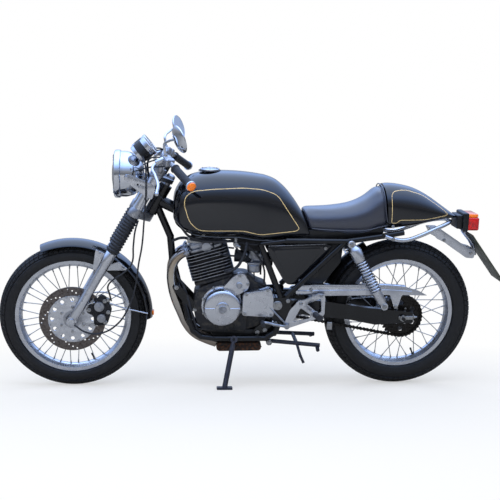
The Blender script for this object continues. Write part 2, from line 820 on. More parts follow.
KEPT_FINISHES = (
    (chassis_paint, "frame", "rear_frame", "swingarm", "rear_mudguard", "air_box"),
    (case_paint, "crankcase"),
    (cast_alloy, "clutch_cover", "carburettor", "front_hub", "rear_hub", "rear_brake_plate", "fork_yokes"),
    (polished_alloy, "alternator_cover", "sprocket_cover", "fork_sliders", "front_rim", "rear_rim", "chain_guard",
     "rear_sets", "foot_controls", "control_levers", "headlamp_ears"),
    (fin_paint, "cylinder"),
    (cast_alloy, "cylinder_head"),
    (stained_chrome, "exhaust_headers"),
    (rusty_steel, "collector_box"),
    (chrome, "silencer", "fuel_cap", "headlamp", "mirrors", "fork_tubes", "rear_shocks"),
    (enamel, "fuel_tank", "tail_cowl", "front_mudguard", "side_covers"),
    (leather, "seat"),
    (zinc_steel, "front_spokes", "rear_spokes", "grab_rail"),
    (rubber, "fork_gaiters", "front_cables", "handlebars"),
    (tyre_rubber, "front_tyre", "rear_tyre"),
    (disc_iron, "brake_disc"),
    (black_anodised, "brake_caliper"),
    (chain_steel, "chain", "rear_sprocket"),
    (black_plastic, "instruments", "tail_lamp"),
    (plate_paint, "number_plate"),
    (stand_paint, "side_stand", "centre_stand"),
    (amber_lens, "bar_end_lamps"),
)


class RACER_OT_kept_nodes(bpy.types.Operator):
    """Gives every CAD node its finish."""
    bl_idname = "racer.kept_nodes"
    bl_label = "Finishes of the frame"

    def execute(self, context):
        for finish_of, *names in KEPT_FINISHES:
            for name in names:
                mesh = frame["nodes"][name].data
                mesh.materials.clear()
                mesh.materials.append(finish_of())
        return {"FINISHED"}


# ---- Wheels -----------------------------------------------------------------------

RIM_R = across_x("front_rim")
RIM_DEPTH = 27
BEAD_R = RIM_R - 13
WELL_R = RIM_R - RIM_DEPTH
WHEELS = (
    # body, axle, tyre radius, tyre width, rim width, hub flange radius, flange place
    ("front_wheel", FRONT_AXLE, FRONT_R, 92, 58, 30, 30),
    ("rear_wheel", REAR_AXLE, REAR_R, 112, 68, 74, 36),
)
DISC_R = across_x("brake_disc")
DISC_Y = (60, 65)


def faces_where(piece, test):
    """In edit mode, selects the faces whose centre and normal pass a test, and nothing else."""
    bpy.ops.mesh.select_mode(type="FACE")
    bpy.ops.mesh.select_all(action="DESELECT")
    shape = bmesh.from_edit_mesh(piece.data)
    for face in shape.faces:
        face.select_set(bool(test(face.calc_center_median(), face.normal)))
    bmesh.update_edit_mesh(piece.data)


class RACER_OT_tyres(bpy.types.Operator):
    """Moulds both tyres, with raised tread blocks and ribbed sidewalls."""
    bl_idname = "racer.tyres"
    bl_label = "Tyres"

    def execute(self, context):
        sizes = context.scene.racer_sizes
        for body, axle, outer, width, rim_width, _, _ in WHEELS:
            crown = width / 2
            middle = outer - crown
            low = math.degrees(math.asin((middle - RIM_R - 1) / crown))
            base = crown - sizes.tread_depth
            shoulder = 64
            neck = rim_width / 2 - 4.3
            profile = [(BEAD_R + 1, -neck), (RIM_R + 1, -neck - 3)]
            angles = [-90 - low + 3, -100, -92, -86, -79, -72, -shoulder]
            rows = 7 if width < 100 else 8
            angles += [-shoulder + 2 * shoulder * k / rows for k in range(1, rows)]
            angles += [-angle for angle in reversed(angles[:7])]
            for angle in angles:
                radius = base if abs(angle) <= shoulder else crown - (0.9 if int(abs(angle)) % 2 else 0)
                turn = math.radians(angle)
                profile.append((middle + radius * math.cos(turn), radius * math.sin(turn)))
            profile += [(RIM_R + 1, neck + 3), (BEAD_R + 1, neck)]
            tyre = lathe(f"{body}_tyre_cover", profile, steps=sizes.tread_blocks, closed=True)
            # The blocks lean back from the middle of the tread, as a chevron.
            pitch = math.tau / sizes.tread_blocks
            for vertex in tyre.data.vertices:
                x, y, z = vertex.co
                skew = pitch * 0.85 * abs(y) / (width / 2)
                vertex.co = (x * math.cos(skew) + z * math.sin(skew), y, z * math.cos(skew) - x * math.sin(skew))
            pick(tyre)
            bpy.ops.object.mode_set(mode="EDIT")
            edge = math.radians(shoulder)

            def on_tread(centre, normal):
                radius = math.hypot(centre.x, centre.z)
                return abs(math.atan2(centre.y, radius - middle)) < edge and radius > middle
            faces_where(tyre, on_tread)
            bpy.ops.mesh.inset(thickness=1.5, depth=sizes.tread_depth, use_individual=True)
            bpy.ops.object.mode_set(mode="OBJECT")
            settle(tyre, Matrix.Translation(axle))
            finish(tyre, tyre_rubber(), body, "tyre", replaces=[body.replace("wheel", "tyre")], smooth=30)
        return {"FINISHED"}


class RACER_OT_rims(bpy.types.Operator):
    """Turns both rims, with nipples and a valve stem."""
    bl_idname = "racer.rims"
    bl_label = "Rims"

    def execute(self, context):
        for body, axle, _, _, width, flange_r, flange_y in WHEELS:
            half = [(WELL_R, 0), (WELL_R, 9), (WELL_R + 2, 14), (WELL_R + 8, width / 2 - 7), (WELL_R + 10.5, width / 2 - 3),
                    (WELL_R + 14, width / 2 - 1.5), (RIM_R - 4, width / 2 - 1.2), (RIM_R - 1, width / 2),
                    (RIM_R, width / 2 - 1.2), (RIM_R - 1.2, width / 2 - 3), (BEAD_R + 2, width / 2 - 4.2),
                    (BEAD_R, width / 2 - 6), (WELL_R + 12, 17), (WELL_R + 5, 10), (WELL_R + 4, 0)]
            outer_half = half[:12]
            profile = ([(r, y) for r, y in outer_half] + [(r, y) for r, y in half[12:]]
                       + [(r, -y) for r, y in reversed(half[12:-1])] + [(r, -y) for r, y in reversed(outer_half[1:])])
            rim = lathe(f"{body}_rim_turned", profile, steps=128, closed=True)
            settle(rim, Matrix.Translation(axle))
            finish(rim, polished_alloy(), body, "polished_alloy", replaces=[body.replace("wheel", "rim")], smooth=28)
            # Nine groups of four crossed spokes, as the frame's spokes lie.
            nipples = []
            for group in range(9):
                for side in SIDES:
                    for lead in SIDES:
                        hub_angle = group * 40 + (0 if side > 0 else 20) + lead * 4
                        rim_angle = hub_angle + lead * 42
                        inner = around(axle, flange_r, hub_angle, side * (flange_y + lead * 4))
                        outer = around(axle, WELL_R + 2, rim_angle, side * 5)
                        nipples.append((outer, (inner - outer).normalized()))
            pattern = bar("nipple", (0, 0, -1), (0, 0, 15), 3.6, 2.6, sides=10, edge=0.4)
            pieces = copies(f"{body}_nipples", pattern, [facing(point, way) for point, way in nipples])
            finish(pieces, zinc_steel(), body, "spoke_steel")
            stem = lathe("stem", [(0, 0), (5.5, 0), (5.5, 4), (3.6, 6), (3.6, 20), (4.4, 21), (4.4, 30), (0, 31)], 16)
            at = around(axle, WELL_R + 1, 247)
            way = (axle - at).normalized()
            settle(stem, Matrix.Translation(at) @ way.to_track_quat("Y", "Z").to_matrix().to_4x4())
            stem.name = f"{body}_valve"
            finish(stem, black_plastic(), body, "black_plastic")
        return {"FINISHED"}


class RACER_OT_brake_disc(bpy.types.Operator):
    """Machines the drilled disc and its bolted carrier, and the hub bolts and seals."""
    bl_idname = "racer.brake_disc"
    bl_label = "Brake disc and hubs"

    def execute(self, context):
        place = Matrix.Translation(FRONT_AXLE)
        holes = []
        for group in range(8):
            for row in range(4):
                angle = math.radians(group * 45 + row * 8 - 8)
                radius = DISC_R - 9 - row * 8
                holes.append((radius * math.cos(angle), radius * math.sin(angle), 3.4))
        ring = plate("disc_ring", circle(0, 0, DISC_R, 96), *DISC_Y, holes=[*holes, (0, 0, 97)], edge=0.4)
        settle(ring, place)
        finish(ring, disc_iron(), "front_wheel", "disc_iron", replaces=["brake_disc"])
        windows = [(84 * math.cos(math.tau * k / 12), 84 * math.sin(math.tau * k / 12), 8.5) for k in range(12)]
        carrier = plate("disc_carrier", circle(0, 0, 101, 72), DISC_Y[0] - 1, DISC_Y[1] + 3,
                        holes=[*windows, (0, 0, 26)], edge=1.2)
        settle(carrier, place)
        finish(carrier, polished_alloy(), "front_wheel", "polished_alloy")
        boss = lathe("disc_boss", [(27, 55), (70, 56), (70, 66), (62, 67), (38, 68), (30, 69), (27, 69)], 64, closed=True)
        settle(boss, place)
        finish(boss, cast_alloy(), "front_wheel", "cast_alloy")
        rivets = [(around(FRONT_AXLE, 97, 15 + 30 * k, 66), (0, 1, 0)) for k in range(12)]
        bolts("disc_rivets", screw, rivets, 4.6, zinc_steel(), "front_wheel", "spoke_steel")
        bolts("disc_bolts", hex_bolt, [(around(FRONT_AXLE, 52, 30 + 60 * k, 66), (0, 1, 0)) for k in range(6)],
              6.5, zinc_steel(), "front_wheel", "spoke_steel")
        for side in SIDES:
            rings = lathe("hub_ring", [(40, 0), (76, 0), (78, 2), (78, 5), (76, 7), (44, 9), (40, 7)], 64, closed=True)
            rings.data.transform(Matrix.Translation(REAR_AXLE + Vector((0, side * 36 - 3.5, 0))))
            rings.name = f"rear_hub_flange_{'left' if side > 0 else 'right'}"
            finish(outward(rings), cast_alloy(), "rear_wheel", "cast_alloy")
        return {"FINISHED"}


def sprocket_outline(radius, teeth):
    """The toothed edge of a sprocket."""
    points = []
    for k in range(teeth * 4):
        angle = math.tau * (k + 0.5) / (teeth * 4)
        grow = 4.5 if k % 4 in (1, 2) else -3.5
        points.append(((radius + grow) * math.cos(angle), (radius + grow) * math.sin(angle)))
    return points


CHAIN_Y = 75
SPROCKET_R = across_x("rear_sprocket") - 2
DRIVE = Vector((-88, 0, 392))
DRIVE_R = 38


class RACER_OT_drive(bpy.types.Operator):
    """Builds the toothed sprocket and the drive chain, link by link."""
    bl_idname = "racer.drive"
    bl_label = "Chain and sprocket"

    def execute(self, context):
        teeth = round(math.tau * SPROCKET_R / context.scene.racer_sizes.chain_pitch)
        windows = [(58 * math.cos(math.tau * k / 6 + 0.5), 58 * math.sin(math.tau * k / 6 + 0.5), 11) for k in range(6)]
        disc = plate("rear_sprocket_toothed", sprocket_outline(SPROCKET_R, teeth), CHAIN_Y - 3, CHAIN_Y + 3,
                     holes=[*windows, (0, 0, 22)], edge=0.6)
        settle(disc, Matrix.Translation(REAR_AXLE))
        core = lathe("core", [(22, 62.4), (40, 62.4), (40, 72), (46, 73), (46, 75), (30, 77), (22, 77)], 48, closed=True)
        settle(core, Matrix.Translation(REAR_AXLE))
        finish(joined("rear_sprocket_toothed", [disc, core]), chain_steel(), "rear_wheel", "chain_steel",
               replaces=["rear_sprocket"])
        bolts("sprocket_bolts", hex_bolt, [(around(REAR_AXLE, 37, 60 * k, 75.5), (0, 1, 0)) for k in range(6)],
              5, zinc_steel(), "rear_wheel", "spoke_steel")
        # The chain's centre line: an arc about each sprocket and the two straight runs.
        run = REAR_AXLE - DRIVE
        along = math.atan2(run.z, run.x)
        lift = math.acos((SPROCKET_R - DRIVE_R) / math.hypot(run.x, run.z))
        path = []
        for centre, radius, first, last in ((REAR_AXLE, SPROCKET_R, along - math.pi + lift, along + math.pi - lift),
                                            (DRIVE, DRIVE_R, along + math.pi - lift, along + math.pi + lift)):
            for k in range(61):
                turn = first + (last - first) * k / 60
                path.append(Vector((centre.x + radius * math.cos(turn), CHAIN_Y, centre.z + radius * math.sin(turn))))
        path.append(path[0])
        length = sum((b - a).length for a, b in zip(path, path[1:]))
        count = 2 * round(length / context.scene.racer_sizes.chain_pitch / 2)
        step = length / count
        pins, walked, wanted = [], 0.0, 0.0
        for a, b in zip(path, path[1:]):
            while wanted <= walked + (b - a).length and len(pins) < count:
                pins.append(a.lerp(b, (wanted - walked) / (b - a).length))
                wanted += step
            walked += (b - a).length
        waist = 3.3
        outline = [(math.cos(math.radians(t)) * 6.2 - step / 2, math.sin(math.radians(t)) * 6.2) for t in range(60, 301, 40)]
        outline += [(0, -waist)]
        outline += [(step / 2 - math.cos(math.radians(t)) * 6.2, -math.sin(math.radians(t)) * 6.2) for t in range(60, 301, 40)]
        outline += [(0, waist)]
        for name, y_in, roller in (("outer_links", 6.6, 0), ("inner_links", 4.4, 1)):
            parts = [plate("link", outline, *sorted((side * y_in, side * (y_in + 1.9))), edge=0.2) for side in SIDES]
            for end in (-step / 2, step / 2):
                pin_y = 4.3 if roller else 10
                pin = bar("pin", (end, -pin_y, 0), (end, pin_y, 0), 4.6 if roller else 2.4, sides=10, edge=0.3)
                parts.append(pin)
            pattern = joined("link", parts)
            placements = []
            for k in range(0 if roller else 1, len(pins), 2):
                a, b = pins[k], pins[(k + 1) % len(pins)]
                way = b - a
                placements.append(Matrix.Translation((a + b) / 2) @ Matrix.Rotation(-math.atan2(way.z, way.x), 4, "Y"))
            links = copies(f"chain_{name}", pattern, placements)
            finish(links, chain_steel(), "chassis", "chain_steel", replaces=["chain"] if not roller else ())
        return {"FINISHED"}


# ---- Tank, seat and bodywork --------------------------------------------------------

def wave(value, exponent):
    """One side of a superellipse."""
    return math.copysign(abs(value) ** (2 / exponent), value)


def between(table, place):
    """A row of a table at a fractional place along it, on a smooth curve through the rows."""
    k = min(int(place), len(table) - 2)
    t = place - k
    rows = [table[max(0, min(len(table) - 1, k + step))] for step in (-1, 0, 1, 2)]
    return [0.5 * (2 * b + (c - a) * t + (2 * a - 5 * b + 4 * c - d) * t * t + (3 * b - a - 3 * c + d) * t ** 3)
            for a, b, c, d in zip(*rows)]


def skin(name, table, level, low_power, top_power, steps=3, count=56, grow=0.0):
    """A body skin through cross-sections, each row being
    (x, slope of x with z, half width, bottom z, widest z, top z)."""
    rings = []
    total = (len(table) - 1) * steps
    for k in range(total + 1):
        x, slope, half, low, wide, top = between(table, k / steps)
        ring = []
        for j in range(count):
            angle = math.tau * (j + 0.5) / count
            upper = math.sin(angle) >= 0
            power = top_power if upper else low_power
            z = wide + ((top - wide + grow) if upper else (wide - low + grow)) * wave(math.sin(angle), power)
            ring.append(Vector((x + slope * (z - level), (half + grow) * wave(math.cos(angle), power), z)))
        rings.append(ring)
    return loft(name, rings)


TANK_ROWS = [
    (286, 0, 66, 744, 780, 820), (281, 0, 88, 733, 780, 846), (268, 0, 108, 718, 781, 874), (246, 0, 125, 700, 784, 900),
    (196, 0, 138, 684, 788, 926), (120, 0, 142, 678, 790, 938), (30, 0, 140, 677, 788, 938),
    (-35, 0, 133, 667, 783, 933), (-78, 0, 125, 657, 772, 927), (-115, 0.05, 117, 656, 762, 922),
    (-170, 0.12, 109, 661, 752, 905), (-225, 0.22, 102, 664, 742, 870), (-262, 0.30, 96, 667, 730, 825),
    (-280, 0.34, 90, 668, 720, 785), (-287, 0.34, 78, 672, 716, 768)]
COWL_ROWS = [
    (-621, 0.1, 104, 706, 795, 895), (-640, 0.05, 106, 706, 793, 898), (-680, 0, 104, 712, 788, 894),
    (-740, 0, 98, 720, 780, 880), (-800, 0, 88, 734, 775, 852), (-860, 0, 72, 747, 770, 813),
    (-910, 0, 50, 753, 765, 779), (-928, 0, 36, 754, 763, 768), (-935, 0, 22, 756, 761, 764)]


def coach_line(name, outline, body_piece, side, width, body, y=260, wobble=8):
    """A painted line round an outline on the side of a body piece, laid onto its surface."""
    points = rounded(outline, 26, 8)
    # Points are spread evenly, so that the line follows the surface closely.
    even = []
    for k, a in enumerate(points):
        b = points[(k + 1) % len(points)]
        pieces = max(1, round((Vector(b) - Vector(a)).length / wobble))
        even += [tuple(Vector(a).lerp(Vector(b), step / pieces)) for step in range(pieces)]
    count = len(even)
    outer, inner = [], []
    turning = sum(Vector(even[k - 1]).cross(Vector(even[k])) for k in range(count))
    for k in range(count):
        way = (Vector(even[(k + 1) % count]) - Vector(even[k - 1])).normalized()
        inwards = Vector((-way.y, way.x)) * (1 if turning > 0 else -1)
        here = Vector(even[k])
        outer.append(Vector((here.x, side * y, here.y)))
        near = here + inwards * width
        inner.append(Vector((near.x, side * y, near.y)))
    piece = loft(name, [outer, inner], capped=False)
    modified(piece, "SHRINKWRAP", target=body_piece, wrap_method="PROJECT", use_project_y=True,
             use_negative_direction=True, use_positive_direction=True, offset=0.35)
    modified(piece, "SOLIDIFY", thickness=0.3, offset=0)
    return outward(piece)


TANK_LINE = [(244, 812), (237, 846), (206, 868), (123, 878), (0, 884), (-81, 877), (-146, 853), (-242, 712), (-228, 700),
             (-75, 685), (-4, 704), (181, 702), (222, 740)]
COWL_LINE = [(-628, 872), (-690, 880), (-770, 858), (-852, 806), (-896, 772), (-780, 753), (-668, 752), (-655, 738),
             (-632, 738)]


class RACER_OT_tank(bpy.types.Operator):
    """Shapes the fuel tank, its pinstripes, filler cap and seams."""
    bl_idname = "racer.tank"
    bl_label = "Fuel tank"

    def execute(self, context):
        tank = skin("tank_shell", TANK_ROWS, 700, 5, 2.5)
        width = context.scene.racer_sizes.stripe_width
        lines = [coach_line("line", TANK_LINE, tank, side, width, "chassis") for side in SIDES]
        lines = joined("tank_pinstripes", lines)
        finish(lines, stripe_paint(), "chassis", "body_paint", smooth=60)
        finish(tank, enamel(), "chassis", "body_paint", replaces=["fuel_tank"], smooth=50)
        cap_place = Matrix.Translation((135, 0, 937)) @ Matrix.Rotation(math.pi / 2, 4, "X")
        ring = lathe("filler_ring", [(28, 0), (47, 0), (47, 2.4), (45, 4), (41, 4.2), (40, 2), (28, 2)], 64, closed=True)
        settle(ring, cap_place)
        finish(ring, rubber(), "chassis", "black_rubber")
        cap = lathe("filler_cap", [(0, 3), (38, 3), (40, 4), (40, 8), (38.5, 10), (34, 11), (31, 10.4), (28, 11),
                                   (10, 12), (0, 12)], 64)
        settle(cap, cap_place)
        hatch = block("hatch", (135, 0, 948.6), (26, 16, 4), edge=1.5)
        hinge = bar("hinge", (98, -9, 944), (98, 9, 944), 4)
        finish(joined("filler_cap", [cap, hatch, hinge]), chrome(), "chassis", "chrome", replaces=["fuel_cap"])
        bolts("filler_screws", screw, [((135 + 34 * math.cos(a), 34 * math.sin(a), 947), (0, 0, 1))
                                       for a in (0.5, 1.57, 2.64, -0.5, -1.57, -2.64)], 2.6, zinc_steel(), "chassis",
              "spoke_steel")
        seam = tube("tank_seam", [(282, 0, 742)] + [(x, side_y, z) for x, side_y, z in (
            (262, 92, 714), (196, 124, 685), (110, 132, 678), (20, 130, 677), (-60, 116, 664), (-150, 100, 661),
            (-235, 90, 667))], 2.2, sides=2)
        other = seam.copy()
        other.data = seam.data.copy()
        other.data.transform(Matrix.Scale(-1, 4, (0, 1, 0)))
        context.scene.collection.objects.link(other)
        finish(outward(joined("tank_seams", [seam, other])), enamel(), "chassis", "body_paint")
        return {"FINISHED"}


SEAT_ROWS = [
    (-279, 0.34, 84, 688, 733, 788), (-290, 0.30, 92, 684, 735, 794), (-330, 0.20, 100, 680, 735, 792),
    (-400, 0.10, 107, 677, 738, 797), (-470, 0, 111, 676, 745, 811), (-530, 0, 111, 682, 758, 839),
    (-572, 0, 109, 697, 782, 874), (-600, 0.04, 106, 706, 795, 890), (-612, 0.1, 104, 710, 797, 891),
    (-617, 0.1, 99, 718, 797, 884)]


class RACER_OT_seat(bpy.types.Operator):
    """Pads and covers the seat, with its piping and the strip of studs along its foot."""
    bl_idname = "racer.seat"
    bl_label = "Seat"

    def execute(self, context):
        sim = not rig.quick()
        pad = skin("seat_pad", SEAT_ROWS, 735, 3.2, 2.4, steps=4, count=64, grow=-3.5 if sim else -1)
        if sim:
            # The foam is blown up a little against its cover, and no point may move far.
            modified(pad, "REMESH", mode="VOXEL", voxel_size=6)
            settle(pad, Matrix.Scale(MM, 4))
            rest = [vertex.co.copy() for vertex in pad.data.vertices]
            pick(pad)
            cloth = pad.modifiers.new("Cloth", "CLOTH")
            cloth.settings.use_pressure = True
            cloth.settings.uniform_pressure_force = 4
            cloth.settings.effector_weights.gravity = 0
            cloth.point_cache.frame_start, cloth.point_cache.frame_end = 1, 20
            for step in range(1, 21):
                context.scene.frame_set(step)
            bpy.ops.object.modifier_apply(modifier=cloth.name)
            context.scene.frame_set(1)
            cap = 4 * MM
            for vertex, start in zip(pad.data.vertices, rest):
                moved = vertex.co - start
                if moved.length > cap:
                    vertex.co = start + moved * (cap / moved.length)
            settle(pad, Matrix.Scale(1 / MM, 4))
            modified(pad, "SMOOTH", factor=0.5, iterations=6)
        finish(pad, leather(), "chassis", "seat_leather", replaces=["seat"], smooth=80)
        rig.padded(pad, fill=0.9)
        # Piping follows the rear edge of the cover and its lower edge.
        x, slope, half, low, wide, top = SEAT_ROWS[-2]
        loop = []
        for k in range(25):
            angle = math.pi * k / 24
            z = wide + (top + 1.5 - wide) * wave(math.sin(angle), 2.4)
            loop.append(Vector((x + slope * (z - 735) + 1, (half + 1.5) * wave(math.cos(angle), 2.4), z)))
        loop = [Vector((-614, 104, 745)), *loop, Vector((-614, -104, 745))]
        piping = tube("rear_piping", loop, 2.6, sides=3, smoothness=3)
        foot = []
        for side in SIDES:
            run = [Vector((row[0] + row[1] * (712 - 735), side * (row[2] * 0.985), 706 + (row[3] - 676) * 0.7))
                   for row in SEAT_ROWS[1:-1]]
            foot.append(tube("foot", run, 2.4, sides=3, smoothness=4))
        finish(joined("seat_piping", [piping, *foot]), leather(), "chassis", "seat_leather")
        return {"FINISHED"}


class RACER_OT_cowl(bpy.types.Operator):
    """Shapes the tail cowl, its pinstripe, screws and side covers."""
    bl_idname = "racer.cowl"
    bl_label = "Tail cowl and side covers"

    def execute(self, context):
        cowl = skin("cowl_shell", COWL_ROWS, 735, 3.2, 2.2)
        width = context.scene.racer_sizes.stripe_width * 0.85
        lines = [coach_line("line", COWL_LINE, cowl, side, width, "chassis") for side in SIDES]
        finish(joined("cowl_pinstripes", lines), stripe_paint(), "chassis", "body_paint", smooth=60)
        finish(cowl, enamel(), "chassis", "body_paint", replaces=["tail_cowl"], smooth=50)
        heads = [(flip((x, y, z), side), (0, side, 0)) for side in SIDES
                 for x, y, z in ((-640, 98.5, 725), (-355, 98, 628), (-250, 98, 486))]
        bolts("body_screws", screw, heads, 7, zinc_steel(), "chassis", "spoke_steel")
        covers, trims = [], []
        outline = rounded([(-106, 634), (-362, 645), (-388, 638), (-256, 470), (-192, 468), (-114, 600)], 22)
        for side in SIDES:
            covers.append(plate("cover", outline, *sorted((side * 88, side * 98)), edge=4))
            dish = rounded([(-130, 622), (-345, 633), (-258, 500), (-200, 492)], 26)
            covers.append(plate("cover_panel", dish, *sorted((side * 96, side * 100.5)), edge=1.8))
            trims.append(tube("trim", [flip(p, side) for p in ((-112, 97.4, 636), (-230, 97.4, 641), (-360, 97.4, 646.5))],
                              1.2, sides=2))
        finish(joined("side_cover_shells", covers), enamel(), "chassis", "body_paint", replaces=["side_covers"])
        finish(joined("side_cover_trims", trims), polished_alloy(), "chassis", "polished_alloy")
        return {"FINISHED"}


# ---- Engine and exhaust -----------------------------------------------------------------

CRANK = Vector((78, 0, 371))
CYLINDER = Matrix.Translation(CRANK) @ Matrix.Rotation(math.radians(16), 4, "Y")


def slab(name, half_x, half_y, z_low, z_high, corner, edge):
    """A flat slab with cut corners, drawn along the cylinder's axis."""
    outline = rounded([(-half_x, -half_y), (half_x, -half_y), (half_x, half_y), (-half_x, half_y)], corner)
    piece = plate(name, outline, -z_high, -z_low, edge=edge)
    piece.data.transform(Matrix.Rotation(math.pi / 2, 4, "X"))
    piece.data.transform(Matrix.Rotation(math.pi, 4, "X"))
    return piece


class RACER_OT_cylinder(bpy.types.Operator):
    """Casts the finned barrel and head, with bare fin edges, ribs and the head cover."""
    bl_idname = "racer.cylinder"
    bl_label = "Barrel and head"

    def execute(self, context):
        groups = (("barrel_fins", "cylinder", [134 + 13 * k for k in range(6)], 92, 86),
                  ("head_fins", "cylinder_head", [216 + 13 * k for k in range(3)], 91, 85))
        for name, node_name, levels, half_x, half_y in groups:
            fins = [slab("fin", half_x, half_y, z, z + 3.2, 34, 0.7) for z in levels]
            core = slab("core", half_x - 24, half_y - 18, levels[0] - 8, levels[-1] + 12, 26, 1)
            ribs = []
            for z in levels[:-1]:
                for x in (-52, -18, 18, 52):
                    for side in SIDES:
                        ribs.append(block("rib", (x, side * (half_y - 9), z + 8), (4, 16, 10.4), edge=0.8, segments=1))
            finish(joined(name, [*fins, core, *ribs]), fin_paint(), "chassis", "barrel_black", replaces=[node_name],
                   place=PLACE @ CYLINDER)
            edges = [slab("edge", half_x + 0.8, half_y + 0.8, z + 0.5, z + 2.9, 34, 0.4) for z in levels]
            finish(joined(f"{name}_bare_edges", edges), cast_alloy(), "chassis", "cast_alloy", place=PLACE @ CYLINDER)
        cover = [slab("cover", 74, 70, 250, 262, 22, 2), slab("cover", 70, 62, 262, 284, 20, 5)]
        cover.append(block("rocker", (36, 34, 285), (50, 44, 8), edge=3))
        cover.append(block("rocker", (36, -34, 285), (50, 44, 8), edge=3))
        cover.append(block("rocker", (-34, 34, 283), (44, 40, 8), edge=3))
        cover.append(block("rocker", (-34, -34, 283), (44, 40, 8), edge=3))
        for side in SIDES:
            cover.append(bar("cam_cap", (-4, side * 60, 262), (-4, side * 78, 262), 20))
        finish(joined("head_cover", cover), cast_alloy(), "chassis", "cast_alloy", place=PLACE @ CYLINDER, smooth=40)
        heads = [(CYLINDER @ Vector((x, side * y, z)), CYLINDER.to_3x3() @ Vector((0, 0, 1))) for side in SIDES
                 for x, y, z in ((62, 54, 284), (-62, 50, 284), (0, 56, 284), (66, 66, 262), (-66, 66, 262))]
        bolts("head_bolts", hex_bolt, heads, 5.5, zinc_steel(), "chassis", "spoke_steel")
        inlet = [bar("inlet", (22, 0, 574), (-46, 0, 568), 27, 24), bar("clip", (-28, 0, 570), (-36, 0, 569), 29),
                 bar("rubber", (-96, 0, 562), (-132, 0, 560), 27, 30), bar("clip", (-102, 0, 561), (-110, 0, 561), 30.5)]
        finish(joined("inlet_rubbers", inlet), rubber(), "chassis", "black_rubber")
        return {"FINISHED"}


class RACER_OT_cases(bpy.types.Operator):
    """Casts the engine covers with their ribs, plugs and bolts."""
    bl_idname = "racer.cases"
    bl_label = "Engine covers"

    def execute(self, context):
        hub = Vector((CRANK.x, 0, 374))
        drum = lathe("drum", [(0, 78), (80, 78), (80, 84), (78, 86), (78, 126), (76, 132), (72, 136), (64, 139), (40, 142),
                              (30, 142), (29, 146), (26, 148), (0, 148)], 96)
        settle(drum, Matrix.Translation(hub))
        ridges = [block("ridge", (hub.x + way * 53, 141, hub.z), (44, 8, 7), edge=2.5, turn=0) for way in SIDES]
        flange = plate("flange", circle(hub.x, hub.z, 86), 76, 84, edge=1.2)
        lobe = plate("lobe", rounded([(78, 457), (34, 507), (6, 522), (-14, 519), (-38, 478), (-30, 450), (16, 423), (54, 436)],
                                     16), 76, 112, edge=3)
        finish(joined("alternator_case", [drum, *ridges, flange, lobe]), polished_alloy(), "chassis", "polished_alloy",
               replaces=["alternator_cover"], smooth=38)
        plug = lathe("plug", [(0, 146), (17, 146), (17, 153), (15, 155), (9, 155), (8, 153), (0, 153)], 40)
        settle(plug, Matrix.Translation(hub))
        slot = block("slot", (hub.x, 154, hub.z), (20, 3, 3), edge=0.8)
        filler = lathe("filler", [(0, 112), (13, 112), (13, 120), (11, 122), (0, 122)], 30)
        settle(filler, Matrix.Translation((8, 0, 470)))
        finish(joined("case_plugs", [plug, slot, filler]), cast_alloy(), "chassis", "cast_alloy")
        rim_bolts = [(around(hub, 83, a, 84), (0, 1, 0)) for a in (20, 65, 150, 200, 245, 290, 335)]
        lobe_bolts = [((x, 112, z), (0, 1, 0)) for x, z in ((62, 452), (6, 510), (-28, 474))]
        sprocket_bolts = [((x, 132, z), (0, 1, 0)) for x, z in ((-22, 434), (-112, 452), (-128, 346), (-16, 352))]
        bolts("case_bolts", hex_bolt, rim_bolts + lobe_bolts + sprocket_bolts, 5.2, zinc_steel(), "chassis",
              "spoke_steel")
        cover = plate("sprocket_case", rounded([(-8, 436), (-48, 448), (-94, 453), (-125, 463), (-139, 416), (-137, 386),
                                                (-143, 361), (-138, 334), (-4, 341)], 14), 84, 132, edge=5)
        finish(cover, polished_alloy(), "chassis", "polished_alloy",
               replaces=["sprocket_cover"], smooth=38)
        case = plate("case", rounded([(185, 300), (196, 350), (192, 420), (165, 452), (60, 492), (10, 505), (-40, 500),
                                      (-70, 470), (-122, 452), (-122, 350), (-105, 285), (-20, 258), (150, 256)], 20),
                     -68, 64, edge=5)
        left = plate("case", rounded([(185, 300), (196, 350), (192, 420), (165, 452), (60, 492), (10, 505), (-30, 500),
                                      (-30, 258), (150, 256)], 18), 62, 79, edge=3)
        webs = [block("web", (x, 79, z), (w, 8, h), edge=2) for x, z, w, h in
                ((150, 268, 60, 6), (100, 278, 6, 34), (60, 276, 6, 30), (20, 276, 6, 30), (170, 440, 40, 6))]
        base = [slab("base", 86, 78, 112, 124, 24, 2), slab("base", 80, 72, 124, 132, 22, 1)]
        for piece in base:
            piece.data.transform(CYLINDER)
        finish(joined("crankcase_casting", [case, left, *webs, *base]), case_paint(), "chassis", "cast_alloy",
               replaces=["crankcase"], smooth=38)
        right = lathe("clutch", [(0, -68), (94, -68), (94, -104), (88, -116), (78, -121), (76, -136), (70, -141), (30, -143),
                                 (28, -140), (0, -140)], 96)
        settle(right, Matrix.Translation((30, 0, 370)))
        skirt = plate("skirt", rounded([(185, 300), (192, 400), (120, 452), (0, 470), (-90, 440), (-110, 330), (-40, 285),
                                        (100, 275)], 24), -101, -67, edge=4)
        finish(joined("clutch_case", [right, skirt]), polished_alloy(), "chassis", "polished_alloy",
               replaces=["clutch_cover"], smooth=38)
        bolts("clutch_bolts", hex_bolt, [(Vector((x, -101, z)), (0, -1, 0)) for x, z in (
            (176, 306), (182, 392), (122, 442), (10, 458), (-80, 430), (-98, 338), (-36, 296), (96, 286))], 5.5,
              zinc_steel(), "chassis", "spoke_steel")
        return {"FINISHED"}


HEADER_ROUTE = [(224, 598), (245, 590), (268, 572), (284, 545), (292, 505), (288, 450), (273, 391), (250, 335), (224, 280),
                (190, 240), (146, 216), (97, 196)]


